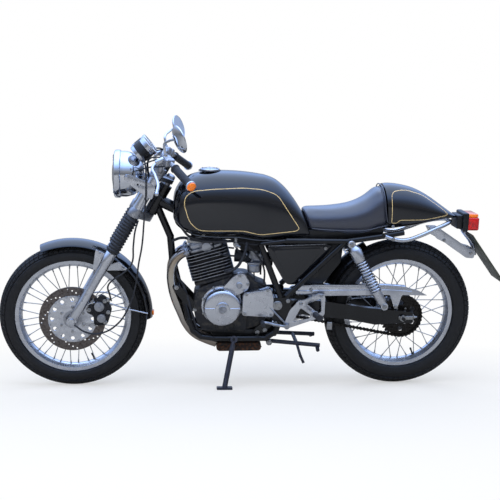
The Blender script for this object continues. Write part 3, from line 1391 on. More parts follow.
class RACER_OT_exhaust(bpy.types.Operator):
    """Bends both header pipes with their clamps, and turns the silencer."""
    bl_idname = "racer.exhaust"
    bl_label = "Exhaust"

    def execute(self, context):
        pipes, clamps = [], []
        for side in SIDES:
            route = [Vector((x, side * (45 if x > 100 else 41), z)) for x, z in HEADER_ROUTE]
            pipes.append(tube("header", route, 19, sides=6, smoothness=6))
            start, ahead = route[0], (route[1] - route[0]).normalized()
            collar = lathe("collar", [(19, 0), (31, 0), (31, 3), (27, 4), (31, 6), (31, 9), (27, 10), (24, 16), (19, 18)], 40,
                           closed=True)
            settle(collar, Matrix.Translation(start - ahead * 4) @ ahead.to_track_quat("Y", "Z").to_matrix().to_4x4())
            clamps.append(collar)
            for turn in (0, math.pi):
                offset = Vector((0, math.cos(turn), 0)) * 27
                clamps.append(bar("stud", start + offset - ahead * 6, start + offset + ahead * 20, 3.4, sides=10))
        finish(joined("header_pipes", pipes), stained_chrome(), "chassis", "chrome", replaces=["exhaust_headers"])
        finish(joined("header_clamps", clamps), cast_alloy(), "chassis", "cast_alloy")
        box = plate("box", rounded([(-96, 176), (-88, 168), (86, 166), (96, 174), (98, 196), (88, 206), (-88, 206), (-96, 198)],
                                   12), -74, 74, edge=6)
        seams = [block("seam", (0, side * 75, 188), (196, 3, 5), edge=1) for side in SIDES]
        finish(joined("collector", [box, *seams]), rusty_steel(), "chassis", "rusty_black", replaces=["collector_box"])
        link = tube("link", [(-20, -68, 186), (-52, -108, 190), (-110, -140, 202), (-230, -165, 240), (-330, -171.5, 271),
                             (-344, -172, 276)], 19, sides=6, smoothness=8)
        tail = Vector((-790, -185, 341))
        mouth = Vector((-336, -172, 273))
        way = (tail - mouth).normalized()
        length = (tail - mouth).length
        body = lathe("silencer", [(0, 0), (20, 0), (24, 12), (34, 40), (42, 58), (44, 66), (44, 70), (42.6, 72), (43.6, 75),
                                  (44, 80), (44, length - 64), (42.5, length - 62), (42.5, length - 58), (44, length - 56),
                                  (43, length - 48), (36, length - 20), (34, length - 4), (32, length), (24, length),
                                  (22, length - 6), (17, length - 8), (17, length - 60), (0, length - 60)], 64)
        settle(body, Matrix.Translation(mouth) @ way.to_track_quat("Y", "Z").to_matrix().to_4x4())
        finish(joined("silencer_turned", [link, body]), chrome(), "chassis", "chrome", replaces=["silencer"], smooth=30)
        strap = lathe("strap", [(44.4, 0), (46, 0), (46, 26), (44.4, 26)], 48, closed=True)
        settle(strap, Matrix.Translation(mouth + way * 150) @ way.to_track_quat("Y", "Z").to_matrix().to_4x4())
        finish(strap, black_plastic(), "chassis", "black_plastic")
        return {"FINISHED"}


class RACER_OT_engine_small_parts(bpy.types.Operator):
    """Adds the carburettor, hoses, taps, coils and wiring between the barrel and the side covers."""
    bl_idname = "racer.engine_small_parts"
    bl_label = "Carburettor, hoses and wiring"

    def execute(self, context):
        body = [bar("throat", (-20, 0, 573), (-98, 0, 562), 25), block("bowl", (-60, 4, 522), (52, 60, 36), edge=7),
                bar("dome", (-60, 0, 570), (-60, 0, 616), 29, 27), bar("top", (-60, 0, 614), (-60, 0, 622), 30),
                block("flange", (-60, 0, 544), (60, 66, 10), edge=3), bar("screw", (-60, 34, 530), (-60, 40, 530), 6),
                bar("pipe", (-48, 30, 560), (-48, 44, 560), 5), bar("choke", (-84, 20, 585), (-84, 44, 585), 6)]
        finish(joined("carburettor_castings", body), cast_alloy(), "chassis", "cast_alloy", replaces=["carburettor"],
               smooth=40)
        hoses = [
            tube("breather", [(69, 96, 525), (52, 112, 530), (20, 112, 548), (-3, 110, 585), (-15, 104, 618), (-22, 90, 650)],
                 6.5, sides=3),
            tube("fuel", [(25, 96, 632), (12, 92, 612), (-16, 74, 590), (-44, 48, 563)], 4.5, sides=3),
            tube("drain", [(-60, 24, 506), (-66, 40, 470), (-90, 70, 452), (-118, 76, 444)], 3, sides=3),
            tube("loom", [(282, 18, 560), (268, 42, 500), (240, 60, 452), (198, 82, 320), (180, 84, 262)], 5, sides=3),
            tube("loom", [(290, 26, 640), (250, 34, 655), (200, 60, 652), (120, 84, 650), (40, 88, 654)], 6, sides=3),
            tube("lead", [(150, 20, 640), (146, 40, 610), (134, 74, 588)], 4, sides=3)]
        finish(joined("engine_hoses", hoses), rubber(), "chassis", "black_rubber")
        tap = [bar("tap", (25, 84, 641), (25, 110, 641), 11), bar("lever", (25, 110, 641), (8, 113, 634), 5),
               bar("neck", (25, 92, 670), (25, 92, 630), 7), block("coil", (196, 40, 650), (60, 34, 30), edge=4)]
        finish(joined("fuel_tap", tap), zinc_steel(), "chassis", "spoke_steel")
        stays = []
        for side in SIDES:
            # Plates that hold the top and front of the engine in the frame.
            stays.append(plate("head_stay", rounded([(150, 676), (190, 664), (150, 630), (118, 632)], 8), *sorted(
                (side * 34, side * 39)), edge=0.8))
            stays.append(plate("front_stay", rounded([(262, 462), (290, 450), (218, 352), (176, 338), (178, 372)], 12),
                               *sorted((side * 68, side * 73)), edge=0.8))
            stays.append(plate("rear_stay", rounded([(-100, 300), (-60, 262), (-60, 236), (-140, 238), (-150, 280)], 10),
                               *sorted((side * 70, side * 75)), edge=0.8))
        finish(joined("engine_stays", stays), chassis_paint(), "chassis", "frame_paint")
        bolts("stay_bolts", hex_bolt, [(Vector((x, side * y, z)), (0, side, 0)) for side in SIDES for x, y, z in (
            (140, 39, 640), (160, 39, 662), (270, 73, 448), (190, 73, 352), (-110, 75, 262), (-78, 75, 252))], 7,
              zinc_steel(), "chassis", "spoke_steel")
        return {"FINISHED"}


# ---- Fork, lamp and bars -------------------------------------------------------------

STEER_PLACE = PLACE @ STEER
GAITER_LOW = -196
FORK_Y = 95
UP_Z = Matrix.Rotation(math.pi / 2, 4, "X")


class RACER_OT_fork(bpy.types.Operator):
    """Makes the fork's gaiters, sliders, yokes, headlamp ears and brake caliper."""
    bl_idname = "racer.fork"
    bl_label = "Fork and brake"

    def execute(self, context):
        folds = 12
        length = 172.0
        profile = [(18.4, 0), (25, 0), (25, 6)]
        steps = folds * 6
        for k in range(steps + 1):
            t = k / steps
            profile.append((25.2 + 4.6 * (0.5 - 0.5 * math.cos(math.tau * folds * t)), 6 + (length - 12) * t))
        profile += [(25, length - 3), (24, length), (18.4, length)]
        gaiters = []
        for side in SIDES:
            gaiter = lathe("gaiter", profile, 40, closed=True)
            settle(gaiter, Matrix.Translation((FORK_OFFSET, side * FORK_Y, GAITER_LOW)) @ UP_Z)
            gaiters.append(gaiter)
        finish(joined("gaiter_folds", gaiters), rubber(), "steering", "black_rubber", replaces=["fork_gaiters"],
               place=STEER_PLACE, smooth=60)
        low = FORK_LOW
        slider_profile = [(0, low - 22), (15, low - 22), (18.6, low - 18), (19, low + 16), (21, low + 22),
                          (21, low + 96), (20.4, low + 100), (20.4, -256), (21, -252), (22.4, -248), (22.6, -216),
                          (21.4, -212), (21.4, -200), (20, -197), (0, -197)]
        sliders = []
        for side in SIDES:
            slider = lathe("slider", slider_profile, 56)
            settle(slider, Matrix.Translation((FORK_OFFSET, side * FORK_Y, 0)) @ UP_Z)
            sliders.append(slider)
            sliders.append(bar("lug", (FORK_OFFSET, side * 74, low), (FORK_OFFSET, side * 112, low), 21))
            sliders.append(bar("cap", (FORK_OFFSET, side * 108, low), (FORK_OFFSET, side * 122, low), 14))
            sliders.append(block("clamp", (FORK_OFFSET - 4, side * FORK_Y, low - 14), (34, 34, 14), edge=4))
        finish(joined("slider_castings", sliders), polished_alloy(), "steering", "polished_alloy",
               replaces=["fork_sliders"], place=STEER_PLACE, smooth=38)
        yokes = []
        for z_low, z_high, grip in ((-20, 14, 27), (162, 182, 26)):
            outline = rounded([(-20, -22), (-20, 22), (FORK_OFFSET - 22, FORK_Y + 6), (FORK_OFFSET + 10, FORK_Y + 2), (34, 14),
                               (34, -14), (FORK_OFFSET + 10, -FORK_Y - 2), (FORK_OFFSET - 22, -FORK_Y - 6)], 14)
            yoke = plate("yoke", outline, -z_high, -z_low, edge=2.5)
            yoke.data.transform(Matrix.Rotation(math.pi, 4, "X") @ Matrix.Rotation(math.pi / 2, 4, "X"))
            yokes.append(yoke)
            for side in SIDES:
                ring = lathe("ring", [(18.2, z_low - 2), (grip - 1, z_low - 2), (grip, z_low), (grip, z_high),
                                      (grip - 1, z_high + 2), (18.2, z_high + 2)], 40, closed=True)
                settle(ring, Matrix.Translation((FORK_OFFSET, side * FORK_Y, 0)) @ UP_Z)
                yokes.append(ring)
        nut = lathe("nut", [(0, 182), (19, 182), (19, 190), (16, 196), (13, 198), (0, 198)], 6)
        settle(nut, UP_Z)
        stem = bar("stem", (0, 0, -24), (0, 0, 186), 15)
        finish(joined("yoke_castings", [*yokes, nut, stem]), cast_alloy(), "steering", "cast_alloy",
               replaces=["fork_yokes"], place=STEER_PLACE, smooth=38)
        ears = []
        for side in SIDES:
            sleeve = lathe("sleeve", [(18.2, 16), (23, 16), (23, 158), (18.2, 158)], 40, closed=True)
            settle(sleeve, STEER @ Matrix.Translation((FORK_OFFSET, side * FORK_Y, 0)) @ UP_Z)
            holes = [(430, 889, 4), (416, 886, 4)]
            ear = plate("ear", rounded([(486, 906), (482, 924), (466, 932), (376, 894), (358, 880), (372, 828), (396, 838)], 8),
                        *sorted((side * 114, side * 118)), holes=holes, edge=0.9)
            ears += [sleeve, ear, bar("bolt", (476, side * 98, 917), (476, side * 121, 917), 7, sides=6)]
        finish(joined("lamp_ears", ears), polished_alloy(), "steering", "polished_alloy", replaces=["headlamp_ears"],
               smooth=38)
        return {"FINISHED"}


class RACER_OT_caliper(bpy.types.Operator):
    """Casts the twin-piston caliper and the front mudguard with its stays."""
    bl_idname = "racer.caliper"
    bl_label = "Caliper and front mudguard"

    def execute(self, context):
        hub = FRONT_AXLE
        body = plate("body", rounded([(-90, -24), (-146, -20), (-164, 40), (-147, 98), (-119, 114), (-88, 70)], 18),
                     71, 92, edge=4)
        inner = plate("inner", rounded([(-100, -18), (-142, -14), (-158, 40), (-142, 92), (-119, 106), (-98, 66)], 16),
                      44, 53, edge=3)
        bridge = plate("bridge", rounded([(-145, -20), (-163, 40), (-146, 97), (-144.5, 40)], 4), 50, 74, edge=1)
        caps = [bar("cap", (-113, 90, 62), (-113, 103, 62), 21, edge=3), bar("cap", (-122, 90, 12), (-122, 103, 12), 18.5,
                                                                             edge=3)]
        crosses = [block("cross", (x, 103, z), (w, 3, h), edge=0.8, turn=a) for x, z, w, h in
                   ((-113, 62, 26, 4.5), (-122, 12, 22, 4.5)) for a in (45, 135)]
        mount = plate("mount", rounded([(-58, 34), (-100, 10), (-112, 96), (-76, 84)], 10), 74, 84, edge=2)
        for name, pieces, metal in (("caliper_casting", [body, inner, bridge, mount], black_anodised()),
                                    ("caliper_caps", [*caps, *crosses], cast_alloy())):
            whole = settle(joined(name, pieces), Matrix.Translation(Vector((hub.x, 0, hub.z))))
            finish(whole, metal, "steering", "caliper_black", replaces=["brake_caliper"], smooth=38)
        heads = [(Vector((hub.x + x, y, hub.z + z)), (0, 1, 0)) for x, y, z in
                 ((-70, 84, 44), (-84, 84, 78), (-136, 92, 84), (-150, 92, 36), (-138, 92, -8))]
        bolts("caliper_bolts", hex_bolt, heads, 6.5, zinc_steel(), "steering", "spoke_steel")
        fitting = [bar("union", (hub.x - 150, 97, hub.z + 84), (hub.x - 150, 97, hub.z + 98), 7)]
        finish(joined("hose_union", fitting), zinc_steel(), "steering", "spoke_steel")
        radius = FRONT_R + 23.5
        drop = 22
        half = 57
        rho = (half ** 2 + drop ** 2) / (2 * drop)
        arc = [(radius - rho + math.sqrt(rho ** 2 - y ** 2), y) for y in [half * k / 8 for k in range(-8, 9)]]
        edge = [(arc[-1][0] - 3, half + 1), (arc[-1][0] - 4.4, half - 0.6), (arc[-1][0] - 2.6, half - 2.2)]
        profile = ([(r, -y) for r, y in edge[:2]] + arc + edge
                   + [(r - 2.4, y) for r, y in reversed(arc[1:-1])] + [(edge[2][0], -edge[2][1])])
        guard = lathe("mudguard_shell", profile, steps=72, turn=115, closed=True, start=66)
        # The ends of the section are closed with a face each.
        pick(guard)
        bpy.ops.object.mode_set(mode="EDIT")
        bpy.ops.mesh.select_all(action="DESELECT")
        bpy.ops.mesh.select_non_manifold(extend=False, use_wire=False, use_multi_face=False, use_non_contiguous=False,
                                         use_verts=False)
        bpy.ops.mesh.edge_face_add()
        bpy.ops.object.mode_set(mode="OBJECT")
        settle(guard, Matrix.Translation(hub))
        finish(outward(guard), enamel(), "steering", "body_paint", replaces=["front_mudguard"], smooth=60)
        stays = []
        for side in SIDES:
            for a, b in ((108, 122), (128, 138)):
                top_a, top_b = (around(hub, radius - 19, angle, side * 58.6) for angle in (a, b))
                foot_a = around(hub, 240, 120, side * 73.6)
                foot_b = around(hub, 226, 112, side * 73.6)
                strap = plate("stay", rounded([(top_a.x, top_a.z), (top_b.x, top_b.z), (foot_a.x, foot_a.z),
                                               (foot_b.x, foot_b.z)], 6), *sorted((side * 58.6, side * 62)), edge=0.8)
                stays.append(strap)
                stays.append(block("foot", (foot_a.x - 6, side * 67, foot_a.z - 2), (20, 14, 22), edge=3, turn=30))
            wire = [around(hub, radius - 20, 176, side * 58), around(hub, 240, 170, side * 66),
                    around(hub, 120, 140, side * 86), around(hub, 46, 118, side * 92)]
            stays.append(tube("rear_stay", wire, 3.4, sides=3))
        finish(joined("mudguard_stays", stays), polished_alloy(), "steering", "polished_alloy", smooth=38)
        bolts("mudguard_bolts", screw, [(around(hub, radius - 26, a, side * 62), (0, side, 0)) for side in SIDES
                                        for a in (112, 118, 133)], 5, zinc_steel(), "steering", "spoke_steel")
        reflector = block("rear_reflector", around(hub, radius + 1, 178), (8, 26, 20), edge=3)
        finish(reflector, amber_lens(), "steering", "amber_lens")
        return {"FINISHED"}


LAMP = Vector((478, 0, 917))
LAMP_R = 100
ALONG_X = Matrix.Rotation(-math.pi / 2, 4, "Z")


def forward(piece, centre):
    """Turns a lathed piece's axis forwards and centres it."""
    return settle(piece, Matrix.Translation(centre) @ ALONG_X)


class RACER_OT_headlamp(bpy.types.Operator):
    """Spins the headlamp shell, its rim, reflector and ribbed glass."""
    bl_idname = "racer.headlamp"
    bl_label = "Headlamp"

    def execute(self, context):
        shell = lathe("shell", [(0, -72), (30, -70), (48, -66), (70, -51), (86, -30), (93, -8), (95, 4), (95, 36), (91, 36),
                                (91, 4), (80, -30), (0, -66)], 96, closed=False)
        rim = lathe("rim", [(88, 50), (92, 52), (98, 49), (100, 42), (100, 30), (98, 26), (95, 24), (95, 28), (97, 32), (96, 42),
                            (90, 47)], 96, closed=True)
        finish(joined("headlamp_shell", [forward(shell, LAMP), forward(rim, LAMP)]), chrome(), "steering", "chrome",
               replaces=["headlamp"], smooth=38)
        bowl = lathe("headlamp_reflector", [(0, -12), (20, -10), (50, 4), (74, 24), (88, 44), (87, 46), (72, 26), (48, 6),
                                            (18, -8), (0, -10)], 72)
        finish(forward(bowl, LAMP), chrome(), "steering", "chrome")
        bulb = lathe("headlamp_bulb", [(0, -10), (6, -10), (6, 10), (9, 12), (9, 24), (0, 26)], 24)
        finish(forward(bulb, LAMP), zinc_steel(), "steering", "spoke_steel")
        glass = lathe("headlamp_glass", [(0, 62), (30, 60.5), (56, 57), (74, 52), (88, 45), (88, 42), (74, 49), (56, 54),
                                         (30, 57.5), (0, 59)], 72)
        finish(forward(glass, LAMP), lamp_glass(), "steering", "chrome", smooth=60)
        ribs = [block("rib", (LAMP.x + 56 - abs(k) ** 2 * 0.32, k * 13, LAMP.z), (4, 3, 2 * math.sqrt(84 ** 2 - (k * 13) ** 2) - 8),
                      edge=1, segments=1) for k in range(-5, 6)]
        finish(joined("headlamp_glass_ribs", ribs), lamp_glass(), "steering", "chrome")
        return {"FINISHED"}


DIAL_TURN = math.radians(-50)


class RACER_OT_instruments(bpy.types.Operator):
    """Builds the two instruments: cups, bezels, dials with ticks and needles."""
    bl_idname = "racer.instruments"
    bl_label = "Instruments"

    def execute(self, context):
        cups, bezels, dials, marks, glasses, caps = [], [], [], [], [], []
        for side in SIDES:
            place = Matrix.Translation((382, side * 52, 1046)) @ Matrix.Rotation(DIAL_TURN, 4, "Y") @ UP_Z
            def put(piece, group):
                group.append(settle(piece, place))
            put(lathe("can", [(0, -72), (37, -72), (40, -70), (41, -66), (41, -6), (0, -6)], 56), bezels)
            put(lathe("band", [(41, -56)] + [(42.4 if k % 2 else 41.2, -54 + 2.8 * k) for k in range(12)] + [(41, -22)], 56), cups)
            put(lathe("bezel", [(40, -14), (43, -13), (43, -2), (41.5, 0), (37, -0.6), (36.5, -4), (40, -6)], 64, closed=True),
                bezels)
            put(lathe("dial", [(0, -6), (38, -6), (38, -5), (0, -5)], 48), dials)
            put(lathe("glass", [(0, -1.2), (37.4, -1.2), (37.4, -2.2), (0, -2.2)], 48), glasses)
            put(lathe("boss", [(0, -5), (5, -5), (5, -2.8), (0, -2.6)], 24), caps)
            for k in range(25):
                angle = math.radians(-40 + 260 * k / 24)
                long = k % 3 == 0
                tick = block("tick", (0, 0, 0), (7 if long else 3.5, 0.6, 1.5 if long else 0.8), edge=0.1, segments=1)
                tick.data.transform(Matrix.Rotation(angle, 4, "Y") @ Matrix.Translation((31 if long else 33, -4.8, 0)))
                put(tick, marks)
            needle = block("needle", (10, -4, 0), (32, 0.8, 1.6), edge=0.2, segments=1)
            needle.data.transform(Matrix.Rotation(math.radians(214), 4, "Y"))
            put(needle, marks)
        finish(joined("instrument_cups", cups), black_plastic(), "steering", "black_plastic", replaces=["instruments"],
               smooth=30)
        finish(joined("instrument_bezels", bezels), polished_alloy(), "steering", "polished_alloy")
        finish(joined("instrument_dials", [*dials, *caps]), black_plastic(), "steering", "black_plastic")
        finish(joined("instrument_marks", marks), dial_white(), "steering", "black_plastic")
        finish(joined("instrument_glasses", glasses), lamp_glass(), "steering", "chrome")
        tray = block("tray", steer(62, 0, 216), (64, 118, 7), edge=2.5, turn=-50)
        post = bar("post", steer(30, 0, 184), steer(30, 0, 224), 9)
        lamps = [bar("warning_lamp", steer(52 + 12 * k, 0, 224), steer(52 + 12 * k, 0, 229), 4) for k in (0, 1, 2)]
        finish(joined("instrument_tray", [tray, post]), black_plastic(), "steering", "black_plastic")
        finish(joined("warning_lamps", lamps), amber_lens(), "steering", "amber_lens")
        return {"FINISHED"}


BAR_END = Vector((222, 329, 919))
GRIP_START = Vector((297, 200, 985))
GRIP_WAY = (BAR_END - GRIP_START).normalized()


class RACER_OT_bars(bpy.types.Operator):
    """Bends the clip-on bars and adds grips, switches, levers, end lamps and mirrors."""
    bl_idname = "racer.bars"
    bl_label = "Handlebars and mirrors"

    def execute(self, context):
        bars, grips, levers, boxes, lenses, bases, stems, rims, glass = [], [], [], [], [], [], [], [], []
        clamp = steer(FORK_OFFSET - 2, FORK_Y + 20, 198)
        for side in SIDES:
            collar = lathe("collar", [(18.2, 184.6), (25, 184.6), (25, 210.6), (18.2, 210.6)], 40, closed=True)
            bars.append(settle(collar, STEER @ Matrix.Translation((FORK_OFFSET, side * FORK_Y, 0)) @ UP_Z))
            route = [clamp - Vector((0, 14, 0)), clamp, Vector((326, 142, 996)), GRIP_START, GRIP_START.lerp(BAR_END, 0.9)]
            bars.append(tube("bar", [flip(p, side) for p in route], 11, sides=5))
            turn = Vector(flip(GRIP_WAY, side)).to_track_quat("Y", "Z").to_matrix().to_4x4()
            start = flip(GRIP_START.lerp(BAR_END, 0.22), side)
            length = (BAR_END - GRIP_START).length * 0.78
            ridges = []
            for k in range(30):
                y = 8 + (length - 20) * k / 29
                ridges.append((16.6 if k % 2 else 15.6, y))
            grip = lathe("grip", [(11, 0), (19, 0), (19, 4), (16.4, 7), *ridges, (16.4, length - 9), (17.5, length - 5),
                                  (17.5, length), (11, length)], 32, closed=True)
            grips.append(settle(grip, Matrix.Translation(start) @ turn))
            perch = flip((314, 172, 997), side)
            boxes.append(settle(block("perch", (0, 0, 0), (34, 30, 36), edge=6),
                                Matrix.Translation(perch) @ turn))
            boxes.append(settle(block("switch", (0, 0, 0), (40, 26, 34), edge=7),
                                Matrix.Translation(flip((304, 190, 990), side)) @ turn))
            if side > 0:
                boxes.append(bar("button", (306, 205, 998), (302, 211, 1002), 4))
            levers.append(bar("bracket", flip((322, 174, 1002), side), flip((356, 174, 984), side), 12, edge=3))
            curve = [flip(p, side) for p in ((352, 172, 985), (368, 190, 971), (356, 248, 942), (345, 296, 910),
                                             (350, 326, 888))]
            levers.append(tube("blade", curve, 6.2, sides=4))
            clear_selection()
            bpy.ops.mesh.primitive_uv_sphere_add(segments=20, ring_count=12, radius=9, location=flip((350, 331, 884), side))
            ball = settle(started("ball"))
            ball.data.transform(Matrix.Translation(ball.data.vertices[0].co * 0))
            levers.append(ball)
            at = flip(BAR_END, side)
            base = lathe("base", [(0, 0), (20, 0), (21, 2), (21, 7), (19, 9), (0, 9)], 40)
            bases.append(settle(base, Matrix.Translation(at) @ turn))
            lens = lathe("lens", [(0, 8), (18.6, 8), (18.6, 10), (17.4, 13), (17.4, 14.5), (15, 17), (8, 18.6), (0, 19)], 40)
            lenses.append(settle(lens, Matrix.Translation(at) @ turn))
            stem = [flip(p, side) for p in ((317, 178, 1012), (322, 181, 1036), (324, 190, 1060), (306, 226, 1078),
                                            (286, 266, 1088))]
            stems.append(tube("stem", stem, 5, sides=4))
            stems.append(bar("nut", flip((317, 178, 1008), side), flip((319, 179, 1022), side), 9, sides=6))
            view = (Matrix.Translation(flip((270, 300, 1090), side)) @ Matrix.Rotation(math.radians(22 * side), 4, "Z")
                    @ Matrix.Rotation(math.radians(-72), 4, "Y") @ UP_Z)
            case = lathe("case", [(0, -9), (20, -8.6), (36, -6), (50, 0), (55, 5), (55, 9), (53.6, 10), (52, 9.6), (52, 8.6),
                                  (0, 8.6)], 64)
            rims.append(settle(case, view))
            face = lathe("face", [(0, 8.6), (52, 8.6), (52, 9.3), (0, 9.3)], 48)
            glass.append(settle(face, view))
        finish(joined("bar_tubes", bars), cast_alloy(), "steering", "cast_alloy", replaces=["handlebars"], smooth=38)
        finish(joined("grips", grips), rubber(), "steering", "black_rubber", smooth=30)
        finish(joined("switch_boxes", boxes), cast_alloy(), "steering", "cast_alloy", smooth=38)
        finish(joined("lever_blades", levers), polished_alloy(), "steering", "polished_alloy",
               replaces=["control_levers"], smooth=45)
        finish(joined("bar_end_lenses", lenses), amber_lens(), "steering", "amber_lens", replaces=["bar_end_lamps"])
        finish(joined("bar_end_bases", bases), chrome(), "steering", "chrome")
        finish(joined("mirror_shells", [*stems, *rims]), chrome(), "steering", "chrome", replaces=["mirrors"], smooth=38)
        finish(joined("mirror_glasses", glass), chrome(), "steering", "chrome")
        return {"FINISHED"}


# ---- Rear end, foot controls, stands and cables ------------------------------------------

PIVOT = Vector((-155, 0, 385))
SHOCK_TOP = Vector((-456, 142, 656))
SHOCK_FOOT = Vector((REAR_AXLE.x + 93, 142, 388))


class RACER_OT_shocks(bpy.types.Operator):
    """Winds the two rear springs and turns their dampers, cups and eyes."""
    bl_idname = "racer.shocks"
    bl_label = "Rear shock absorbers"

    def execute(self, context):
        way = (SHOCK_TOP - SHOCK_FOOT).normalized()
        length = (SHOCK_TOP - SHOCK_FOOT).length
        up = way.to_track_quat("Y", "Z").to_matrix().to_4x4()
        turns = context.scene.racer_sizes.spring_turns
        springs, bodies = [], []
        for side in SIDES:
            place = Matrix.Translation(flip(SHOCK_FOOT, side)) @ Vector(flip(way, side)).to_track_quat(
                "Y", "Z").to_matrix().to_4x4()
            coil = []
            count = turns * 10
            for k in range(count + 1):
                angle = math.tau * k / 10
                pitch = 80 + (length - 84 - 80) * k / count
                coil.append((22.4 * math.cos(angle), pitch, 22.4 * math.sin(angle)))
            springs.append(settle(tube("coil", coil, 3.4, sides=2, smoothness=2), place))
            damper = lathe("damper", [(0, 10), (13, 10), (18, 16), (20, 22), (20, 70), (24.5, 72), (25.5, 76), (25.5, 79),
                                      (16, 80), (16, 150), (7, 154), (7, length - 84), (24, length - 82),
                                      (27, length - 76), (27, length - 30), (24, length - 24), (21, length - 20),
                                      (15, length - 12), (0, length - 10)], 48)
            bodies.append(settle(damper, place))
            for at, inner in ((SHOCK_TOP, 126), (SHOCK_FOOT, 111)):
                eye = lathe("eye", [(9, inner), (15, inner), (17, inner + 3), (17, 153), (15, 156), (9, 156)], 36, closed=True)
                eye.data.transform(Matrix.Translation(Vector((at.x, 0, at.z))))
                if side < 0:
                    eye.data.transform(Matrix.Scale(-1, 4, (0, 1, 0)))
                bodies.append(outward(eye))
        finish(joined("spring_coils", springs), chrome(), "chassis", "chrome", smooth=60)
        finish(joined("shock_bodies", bodies), polished_alloy(), "chassis", "polished_alloy", replaces=["rear_shocks"],
               smooth=38)
        bolts("shock_bolts", hex_bolt, [(flip((at.x, 155, at.z), side), (0, side, 0)) for side in SIDES
                                        for at in (SHOCK_TOP, SHOCK_FOOT)], 8, zinc_steel(), "chassis", "spoke_steel")
        return {"FINISHED"}


class RACER_OT_swingarm_trim(bpy.types.Operator):
    """Adds the chain adjusters, axle nuts, pivot bolt and the chain guard with its gusset."""
    bl_idname = "racer.swingarm_trim"
    bl_label = "Chain guard and adjusters"

    def execute(self, context):
        guard = plate("guard", rounded([(-236, 460), (-320, 466), (-620, 466), (-714, 460), (-770, 444), (-812, 422),
                                        (-700, 424), (-696, 416), (-680, 361), (-668, 361), (-646, 424), (-330, 419),
                                        (-236, 426)], 6), 90, 94, edge=0.8)
        rib = tube("rib", [(-240, 95, 442), (-420, 95, 444), (-640, 95, 446), (-740, 95, 440)], 2.4, sides=2)
        lip = plate("lip", [(-236, 462), (-320, 468), (-620, 468), (-714, 462), (-714, 459), (-620, 465), (-320, 465),
                            (-236, 459)], 62, 94, edge=0.8)
        finish(joined("chain_guard_pressing", [guard, lip, rib]), polished_alloy(), "chassis", "polished_alloy",
               replaces=["chain_guard"], smooth=38)
        pieces, heads = [], []
        for side in SIDES:
            pieces.append(block("adjuster", (REAR_AXLE.x - 14, side * 112, REAR_AXLE.z), (62, 4, 16), edge=1.6))
            pieces.append(bar("axle_nut", flip((REAR_AXLE.x, 112, REAR_AXLE.z), side),
                              flip((REAR_AXLE.x, 124, REAR_AXLE.z), side), 15, sides=6))
            pieces.append(bar("stud", flip((REAR_AXLE.x - 30, 100, REAR_AXLE.z), side),
                              flip((REAR_AXLE.x - 66, 100, REAR_AXLE.z), side), 4))
            pieces.append(bar("nut", flip((REAR_AXLE.x - 50, 100, REAR_AXLE.z), side),
                              flip((REAR_AXLE.x - 58, 100, REAR_AXLE.z), side), 8, sides=6))
            pieces.append(block("end", (REAR_AXLE.x - 47, side * 97, REAR_AXLE.z), (5, 26, 30), edge=1.4))
            washer = lathe("pivot", [(0, 122), (19, 122), (20, 124), (20, 127), (17, 129), (13, 129), (13, 136), (0, 137)], 40)
            washer.data.transform(Matrix.Translation(PIVOT))
            if side < 0:
                washer.data.transform(Matrix.Scale(-1, 4, (0, 1, 0)))
            pieces.append(outward(washer))
            heads += [(flip((x, 94, z), side), (0, side, 0)) for x, z in ((-300, 446), (-560, 448), (-674, 372))
                      if side > 0]
            heads += [(flip((x, 122, z), side), (0, side, 0)) for x, z in ((-150, 306), (-200, 404))]
        tab = block("tab", (-385, 104, 290), (22, 10, 34), edge=2)
        finish(joined("axle_fittings", [*pieces, tab]), zinc_steel(), "chassis", "spoke_steel", smooth=38)
        bolts("frame_bolts", hex_bolt, heads, 6.5, zinc_steel(), "chassis", "spoke_steel")
        return {"FINISHED"}


SET_Y = 124


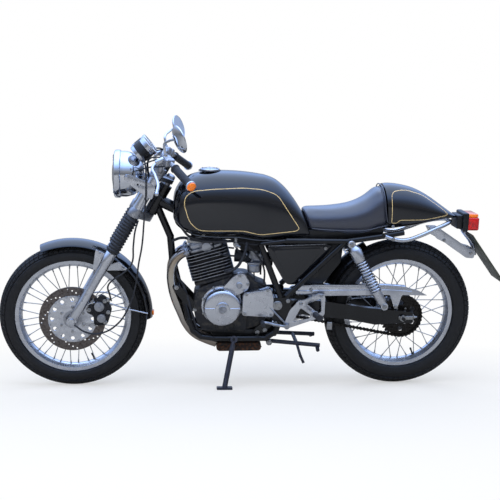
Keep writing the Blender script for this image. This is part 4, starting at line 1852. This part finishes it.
class RACER_OT_foot_controls(bpy.types.Operator):
    """Cuts the rear-set plates and adds pegs with rubbers, the gear lever and the brake pedal."""
    bl_idname = "racer.foot_controls"
    bl_label = "Rear sets"

    def execute(self, context):
        plates, rubbers, levers = [], [], []
        outline = rounded([(-182, 300), (-190, 322), (-206, 366), (-246, 411), (-264, 410), (-332, 441), (-352, 436),
                           (-358, 420), (-357, 346), (-338, 333), (-284, 315), (-204, 287), (-186, 287)], 10)
        windows = [rounded([(-222, 316), (-254, 376), (-298, 345), (-294, 332)], 7),
                   rounded([(-280, 394), (-338, 417), (-341, 360), (-331, 353)], 7), (-254, 396, 5), (-199, 297, 5)]
        for side in SIDES:
            plates.append(plate("set", outline, *sorted((side * SET_Y, side * (SET_Y + 9))), holes=windows, edge=1.6))
            base, tip = flip((-312, SET_Y + 6, 350), side), flip((-318, 252, 366), side)
            way = (tip - base).normalized()
            plates.append(bar("hinge", base - way * 2, base + way * 22, 15))
            length = (tip - base).length
            profile = [(0, 20), (12, 20)]
            for k in range(12):
                y = 24 + (length - 32) * k / 11
                profile += [(12, y), (12.6, y + 2), (11, y + 4)]
            profile += [(13.4, length - 3), (13.4, length), (0, length)]
            peg = lathe("peg", profile, 28)
            rubbers.append(settle(peg, Matrix.Translation(base) @ way.to_track_quat("Y", "Z").to_matrix().to_4x4()))
            boss = flip((-194, SET_Y + 9, 300), side)
            levers.append(bar("boss", boss, boss + Vector((0, side * 25, 0)), 11))
        levers.append(tube("gear", [(-194, SET_Y + 27, 300), (-150, SET_Y + 30, 308), (-110, SET_Y + 32, 318),
                                    (-90, SET_Y + 36, 320), (-88, SET_Y + 62, 320)], 5.6, sides=3))
        rubbers.append(bar("toe", (-90, SET_Y + 30, 320), (-90, SET_Y + 74, 320), 9.5))
        levers.append(tube("link", [(-120, SET_Y + 4, 380), (-170, SET_Y + 12, 330), (-192, SET_Y + 12, 306)], 4, sides=3))
        levers.append(tube("brake", [(-194, -SET_Y - 22, 300), (-140, -SET_Y - 28, 300), (-80, -SET_Y - 36, 300)], 5.8,
                           sides=3))
        rubbers.append(block("pad", (-64, -SET_Y - 45, 302), (42, 34, 10), edge=3))
        finish(joined("rear_set_plates", plates), polished_alloy(), "chassis", "polished_alloy", replaces=["rear_sets"],
               smooth=38)
        finish(joined("foot_levers", levers), cast_alloy(), "chassis", "cast_alloy", replaces=["foot_controls"], smooth=38)
        finish(joined("peg_rubbers", rubbers), rubber(), "chassis", "black_rubber", smooth=38)
        bolts("set_bolts", screw, [(flip((x, SET_Y + 9, z), side), (0, side, 0)) for side in SIDES for x, z in (
            (-199, 297), (-254, 396), (-341, 430))], 7, zinc_steel(), "chassis", "spoke_steel")
        return {"FINISHED"}


class RACER_OT_tail(bpy.types.Operator):
    """Moulds the tail lamp and folds the blank number plate, its hanger and the grab rail."""
    bl_idname = "racer.tail"
    bl_label = "Tail lamp and plate"

    def execute(self, context):
        housing = [block("housing", (-950, 0, 738), (30, 92, 60), edge=5),
                   block("rim", (-972, 0, 739), (26, 114, 80), edge=6)]
        finish(joined("tail_lamp_housing", housing), black_plastic(), "chassis", "black_plastic", replaces=["tail_lamp"],
               smooth=38)
        lens = block("red", (-1007, 0, 731), (52, 106, 58), edge=8, segments=4)
        ribs = [block("rib", (-1033.5, 0, 712 + 8 * k), (2, 88, 2), edge=0.6, segments=1) for k in range(6)]
        finish(joined("tail_lamp_lens", [lens, *ribs]), red_lens(), "chassis", "red_lens", smooth=45)
        top = block("tail_lamp_top", (-1005, 0, 767), (46, 100, 16), edge=6, segments=4)
        finish(top, amber_lens(), "chassis", "amber_lens", smooth=45)
        hanger = []
        for side in SIDES:
            hanger.append(plate("side", rounded([(-822, 706), (-866, 706), (-990, 626), (-1022, 618), (-1019, 580), (-984, 582),
                                                 (-890, 646), (-844, 668)], 8), *sorted((side * 50, side * 54)), edge=0.8))
        hanger.append(plate("top", [(-826, 706), (-866, 706), (-990, 626), (-1022, 618), (-1024, 612), (-990, 620),
                                    (-866, 700), (-826, 700)], -52, 52, edge=0.8))
        hanger.append(tube("stay", [(-978, 18, 690), (-1028, 18, 624), (-1036, 18, 588)], 5, sides=2))
        hanger.append(tube("stay", [(-978, -18, 690), (-1028, -18, 624), (-1036, -18, 588)], 5, sides=2))
        sheet = plate("plate", [(-997, 690), (-1161, 472), (-1156, 470), (-992, 687)], -90, 90, edge=0.8)
        finish(joined("plate_hanger", hanger), polished_alloy(), "chassis", "polished_alloy", smooth=38)
        finish(joined("blank_plate", [sheet]), plate_paint(), "chassis", "black_plastic", replaces=["number_plate"])
        y = 106
        rails = [tube("rail", [flip(p, side) for p in ((-606, y, 684), (-640, y, 673), (-694, y, 668), (-760, 104, 688),
                                                       (-820, 95, 713), (-880, 66, 732), (-908, 30, 738), (-908, 0, 738))],
                      9, sides=4) for side in SIDES]
        finish(joined("grab_rail_bend", rails), polished_alloy(), "chassis", "polished_alloy", replaces=["grab_rail"],
               smooth=50)
        bolts("rail_bolts", hex_bolt, [(flip((x, yy, z), side), (0, side, 0)) for side in SIDES for x, yy, z in (
            (-640, 116, 673), (-880, 54, 660), (-1004, 54, 604))], 6, zinc_steel(), "chassis", "spoke_steel")
        return {"FINISHED"}


BRAKE_ROUTE = [(540, 92, 395), (546, 108, 430), (552, 112, 462), (530, 116, 492), (490, 120, 520), (455, 126, 560),
               (447, 128, 640), (440, 124, 700), (428, 112, 741)]
SPEEDO_ROUTE = [(690, 122, 300), (640, 130, 270), (580, 134, 268), (520, 134, 300), (470, 132, 370), (436, 132, 480),
                (426, 136, 560), (412, 138, 640), (404, 136, 740), (398, 136, 820), (396, 134, 900), (400, 118, 970),
                (411, 90, 1001)]


class RACER_OT_cables(bpy.types.Operator):
    """Lays the brake hose and the cables, and lets those that cross the steering follow it."""
    bl_idname = "racer.cables"
    bl_label = "Hoses and cables"

    def execute(self, context):
        hoses = [tube("hose", route, 3.6, sides=3) for route in (BRAKE_ROUTE, SPEEDO_ROUTE)]
        finish(joined("fork_hoses", hoses), rubber(), "steering", "black_rubber", replaces=["front_cables"])
        upper = [tube("hose", [(322, -176, 1000), (352, -150, 1012), (392, -104, 1000), (430, -96, 930), (436, -98, 830),
                               (428, -104, 748)], 3.6, sides=3),
                 tube("wire", [(306, 196, 978), (330, 150, 968), (380, 110, 960), (430, 60, 940), (452, 20, 930)], 3, sides=3),
                 tube("wire", [(306, -196, 978), (330, -150, 968), (380, -110, 960), (430, -60, 940), (452, -20, 930)], 3,
                      sides=3)]
        finish(joined("bar_hoses", upper), rubber(), "steering", "black_rubber")
        crossing = []
        for side, drop in ((1, 0), (-1, 0), (-1, 9)):
            crossing.append(tube("cable", [flip(p, side) for p in (
                (320, 168 - drop, 1000), (352, 138, 1004 + drop), (388, 84, 984 + drop), (392, 50, 930), (372, 44, 870),
                (330, 42 + drop, 820 - drop), (280, 36 + drop, 775), (235, 34 + drop, 742))], 2.8, sides=3))
        cables = joined("crossing_cables", crossing)
        finish(cables, rubber(), None, "black_rubber")
        start, end = PLACE @ Vector((280, 0, 775)), PLACE @ Vector((392, 0, 940))
        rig.blend(cables, "chassis", "steering", start=tuple(start), end=tuple(end))
        return {"FINISHED"}


class RACER_OT_stands(bpy.types.Operator):
    """Adds the side stand's spring and the stand bolts."""
    bl_idname = "racer.stands"
    bl_label = "Stand springs"

    def execute(self, context):
        heads = [(Vector((-128, 92, 212)), (0, 1, 0)), (Vector((-128, -92, 212)), (0, -1, 0))]
        bolts("stand_bolts", hex_bolt, heads, 8, zinc_steel(), "chassis", "spoke_steel")
        return {"FINISHED"}


class RACER_OT_inner_parts(bpy.types.Operator):
    """Packs the dark parts that fill the frame: coils, battery box, inner mudguard, sump and wiring."""
    bl_idname = "racer.inner_parts"
    bl_label = "Inner parts"

    def execute(self, context):
        boxes = [plate("battery_box", rounded([(-128, 664), (-440, 664), (-430, 560), (-330, 430), (-262, 428),
                                               (-180, 560)], 10), -62, 62, edge=3),
                 plate("coil_tray", rounded([(214, 676), (200, 640), (96, 650), (40, 650), (-6, 600), (-92, 600),
                                             (-120, 672)], 8), -34, 34, edge=3),
                 plate("seat_pan", rounded([(-230, 702), (-600, 716), (-606, 694), (-440, 656), (-230, 658)], 6), -84, 84,
                       edge=3),
                 plate("sump", rounded([(128, 262), (108, 222), (-90, 222), (-130, 262)], 8), -64, 64, edge=4)]
        finish(joined("inner_boxes", boxes), black_plastic(), "chassis", "black_plastic", smooth=38)
        looms = [tube("loom", [flip(p, side) for p in points], radius, sides=3) for side in SIDES
                 for points, radius in (
                     ([(252, 40, 700), (214, 60, 664), (130, 66, 656), (20, 64, 646), (-60, 66, 636), (-120, 78, 650)], 5),
                     ([(120, 62, 650), (110, 76, 610), (80, 84, 596), (20, 82, 588)], 4),
                     ([(-10, 60, 640), (-60, 74, 600), (-96, 84, 540), (-100, 84, 470)], 4))]
        finish(joined("looms", looms), rubber(), "chassis", "black_rubber", smooth=50)
        return {"FINISHED"}


# ---- The stage --------------------------------------------------------------------

class RACER_OT_stage(bpy.types.Operator):
    """Lays the pale floor and sets the soft lights and the camera."""
    bl_idname = "racer.stage"
    bl_label = "Stage"

    def execute(self, context):
        clear_selection()
        bpy.ops.mesh.primitive_plane_add(size=60)
        floor = started("floor")
        paint = bpy.data.materials.new("pale_floor")
        paint.use_nodes = True
        tree = paint.node_tree
        matt = tree.nodes["Principled BSDF"]
        matt.inputs["Base Color"].default_value = linear("f2f2f2")
        matt.inputs["Roughness"].default_value = 0.9
        # The eye sees the floor white with the machine's soft shadow, and its finishes mirror it dimmer.
        away = node(tree, "ShaderNodeVectorMath", {0: node(tree, "ShaderNodeTexCoord").outputs["Object"]},
                    operation="LENGTH").outputs["Value"]
        fade = node(tree, "ShaderNodeMapRange", {"Value": away, "From Min": 0.7, "From Max": 2.4, "To Min": 0.45,
                                                 "To Max": 1.0}).outputs["Result"]
        rays = node(tree, "ShaderNodeLightPath")
        dim = node(tree, "ShaderNodeMath", {0: rays.outputs["Is Glossy Ray"], 1: 0.8}, operation="MULTIPLY").outputs[0]
        seen = node(tree, "ShaderNodeMath", {0: rays.outputs["Is Camera Ray"], 1: rays.outputs["Is Transmission Ray"]},
                    operation="MAXIMUM").outputs[0]
        dark = node(tree, "ShaderNodeBsdfDiffuse", {"Color": linear("a4a4a6")})
        matt = node(tree, "ShaderNodeMixShader", {0: dim, 1: matt.outputs[0], 2: dark.outputs[0]})
        share = node(tree, "ShaderNodeMath", {0: seen, 1: fade}, operation="MULTIPLY").outputs[0]
        white = node(tree, "ShaderNodeEmission", {"Color": (1, 1, 1, 1), "Strength": 1.0})
        mixed = node(tree, "ShaderNodeMixShader", {0: share, 1: matt.outputs[0], 2: white.outputs[0]})
        tree.links.new(mixed.outputs[0], tree.nodes["Material Output"].inputs["Surface"])
        floor.data.materials.append(paint)
        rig.stage(floor)
        world = bpy.data.worlds.new("studio")
        context.scene.world = world
        world.use_nodes = True
        tree = world.node_tree
        tree.nodes.clear()
        way = node(tree, "ShaderNodeTexCoord").outputs["Generated"]
        height = node(tree, "ShaderNodeSeparateXYZ", {"Vector": way}).outputs["Z"]
        ramp = node(tree, "ShaderNodeValToRGB", {"Fac": node(tree, "ShaderNodeMapRange", {
            "Value": height, "From Min": -0.2, "From Max": 1.0}).outputs["Result"]})
        ramp.color_ramp.elements[0].color = linear("8c9096")
        ramp.color_ramp.elements[1].color = linear("dfe8f4")
        soft = node(tree, "ShaderNodeBackground", {"Color": ramp.outputs["Color"], "Strength": 0.62})
        # Polished finishes mirror a grey horizon under a bright blue-white sky.
        sky = node(tree, "ShaderNodeValToRGB", {"Fac": height})
        stops = [(0.0, "54565b"), (0.14, "5e6168"), (0.36, "6f7f9c"), (0.62, "9bb8ee"), (1.0, "c8dcff")]
        while len(sky.color_ramp.elements) < len(stops):
            sky.color_ramp.elements.new(0.5)
        for element, (position, colour) in zip(sky.color_ramp.elements, stops):
            element.position = position
            element.color = linear(colour)
        mirrored = node(tree, "ShaderNodeBackground", {"Color": sky.outputs["Color"], "Strength": 2.8})
        white = node(tree, "ShaderNodeBackground", {"Color": (1, 1, 1, 1), "Strength": 1.0})
        seen = node(tree, "ShaderNodeLightPath")
        glossy = node(tree, "ShaderNodeMixShader", {
            0: seen.outputs["Is Glossy Ray"], 1: soft.outputs[0], 2: mirrored.outputs[0]})
        mix = node(tree, "ShaderNodeMixShader", {
            0: seen.outputs["Is Camera Ray"], 1: glossy.outputs[0], 2: white.outputs[0]})
        node(tree, "ShaderNodeOutputWorld", {"Surface": mix.outputs[0]})
        for name, place, size, power, colour in (
                ("sky_softbox", (0.2, 1.2, 3.4), (3.4, 2.4), 70, "eef4ff"),
                ("camera_side_softbox", (1.6, 4.2, 2.4), (2.6, 2.0), 90, "ffffff"),
                ("far_side_softbox", (-1.2, -3.4, 2.4), (2.6, 2.0), 45, "ffffff")):
            bpy.ops.object.light_add(type="AREA", location=place)
            lamp = context.object
            lamp.name = name
            lamp.data.shape = "RECTANGLE"
            lamp.data.size, lamp.data.size_y = size
            lamp.data.energy = power
            lamp.data.color = linear(colour)[:3]
            lamp.visible_glossy = False
            aim = Vector((0, 0, 0.5)) - Vector(place)
            lamp.rotation_euler = aim.to_track_quat("-Z", "Y").to_euler()
        bpy.ops.object.camera_add(location=(0.3645, 3.8804, 0.58))
        camera = context.object
        yaw, pitch, roll = (math.radians(angle) for angle in (6.54, -0.07, 0.47))
        ahead = Vector((-math.sin(yaw) * math.cos(pitch), -math.cos(yaw) * math.cos(pitch), -math.sin(pitch)))
        right = Vector((-math.cos(yaw), math.sin(yaw), 0))
        up = right.cross(ahead)
        tilted_right = right * math.cos(roll) + up * math.sin(roll)
        tilted_up = up * math.cos(roll) - right * math.sin(roll)
        turn = Matrix((tilted_right, tilted_up, -ahead)).transposed()
        camera.rotation_euler = turn.to_euler()
        camera.data.lens = 66.48
        camera.data.sensor_width = 36
        camera.data.shift_x = -0.0556
        camera.data.shift_y = 0.001
        context.scene.camera = camera
        context.scene.view_settings.view_transform = "Standard"
        return {"FINISHED"}


class RACER_PT_panel(bpy.types.Panel):
    """Lists the machine's pieces."""
    bl_label = "Cafe Racer"
    bl_idname = "RACER_PT_panel"
    bl_space_type = "VIEW_3D"
    bl_region_type = "UI"
    bl_category = "Cafe Racer"

    def draw(self, context):
        for group in (context.scene.racer_sizes, context.scene.racer_colours):
            for name in group.__annotations__:
                self.layout.prop(group, name)
        for operator in OPERATORS:
            self.layout.operator(operator.bl_idname)


OPERATORS = [kind for kind in list(globals().values()) if isinstance(kind, type)
             and issubclass(kind, bpy.types.Operator) and kind is not bpy.types.Operator]
CLASSES = [RacerSizes, RacerColours, *OPERATORS, RACER_PT_panel]


def register():
    for kind in CLASSES:
        bpy.utils.register_class(kind)
    bpy.types.Scene.racer_sizes = PointerProperty(type=RacerSizes)
    bpy.types.Scene.racer_colours = PointerProperty(type=RacerColours)


def unregister():
    del bpy.types.Scene.racer_sizes, bpy.types.Scene.racer_colours
    for kind in reversed(CLASSES):
        bpy.utils.unregister_class(kind)


def main():
    register()
    for operator in OPERATORS:
        group, name = operator.bl_idname.split(".")
        getattr(getattr(bpy.ops, group), name)()
    with open("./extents.json", "w") as out:
        json.dump({"cad": [list(corner) for corner in CAD_BOX],
                   "visual": [list(corner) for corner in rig.bounds()]}, out)


if __name__ == "__main__":
    main()
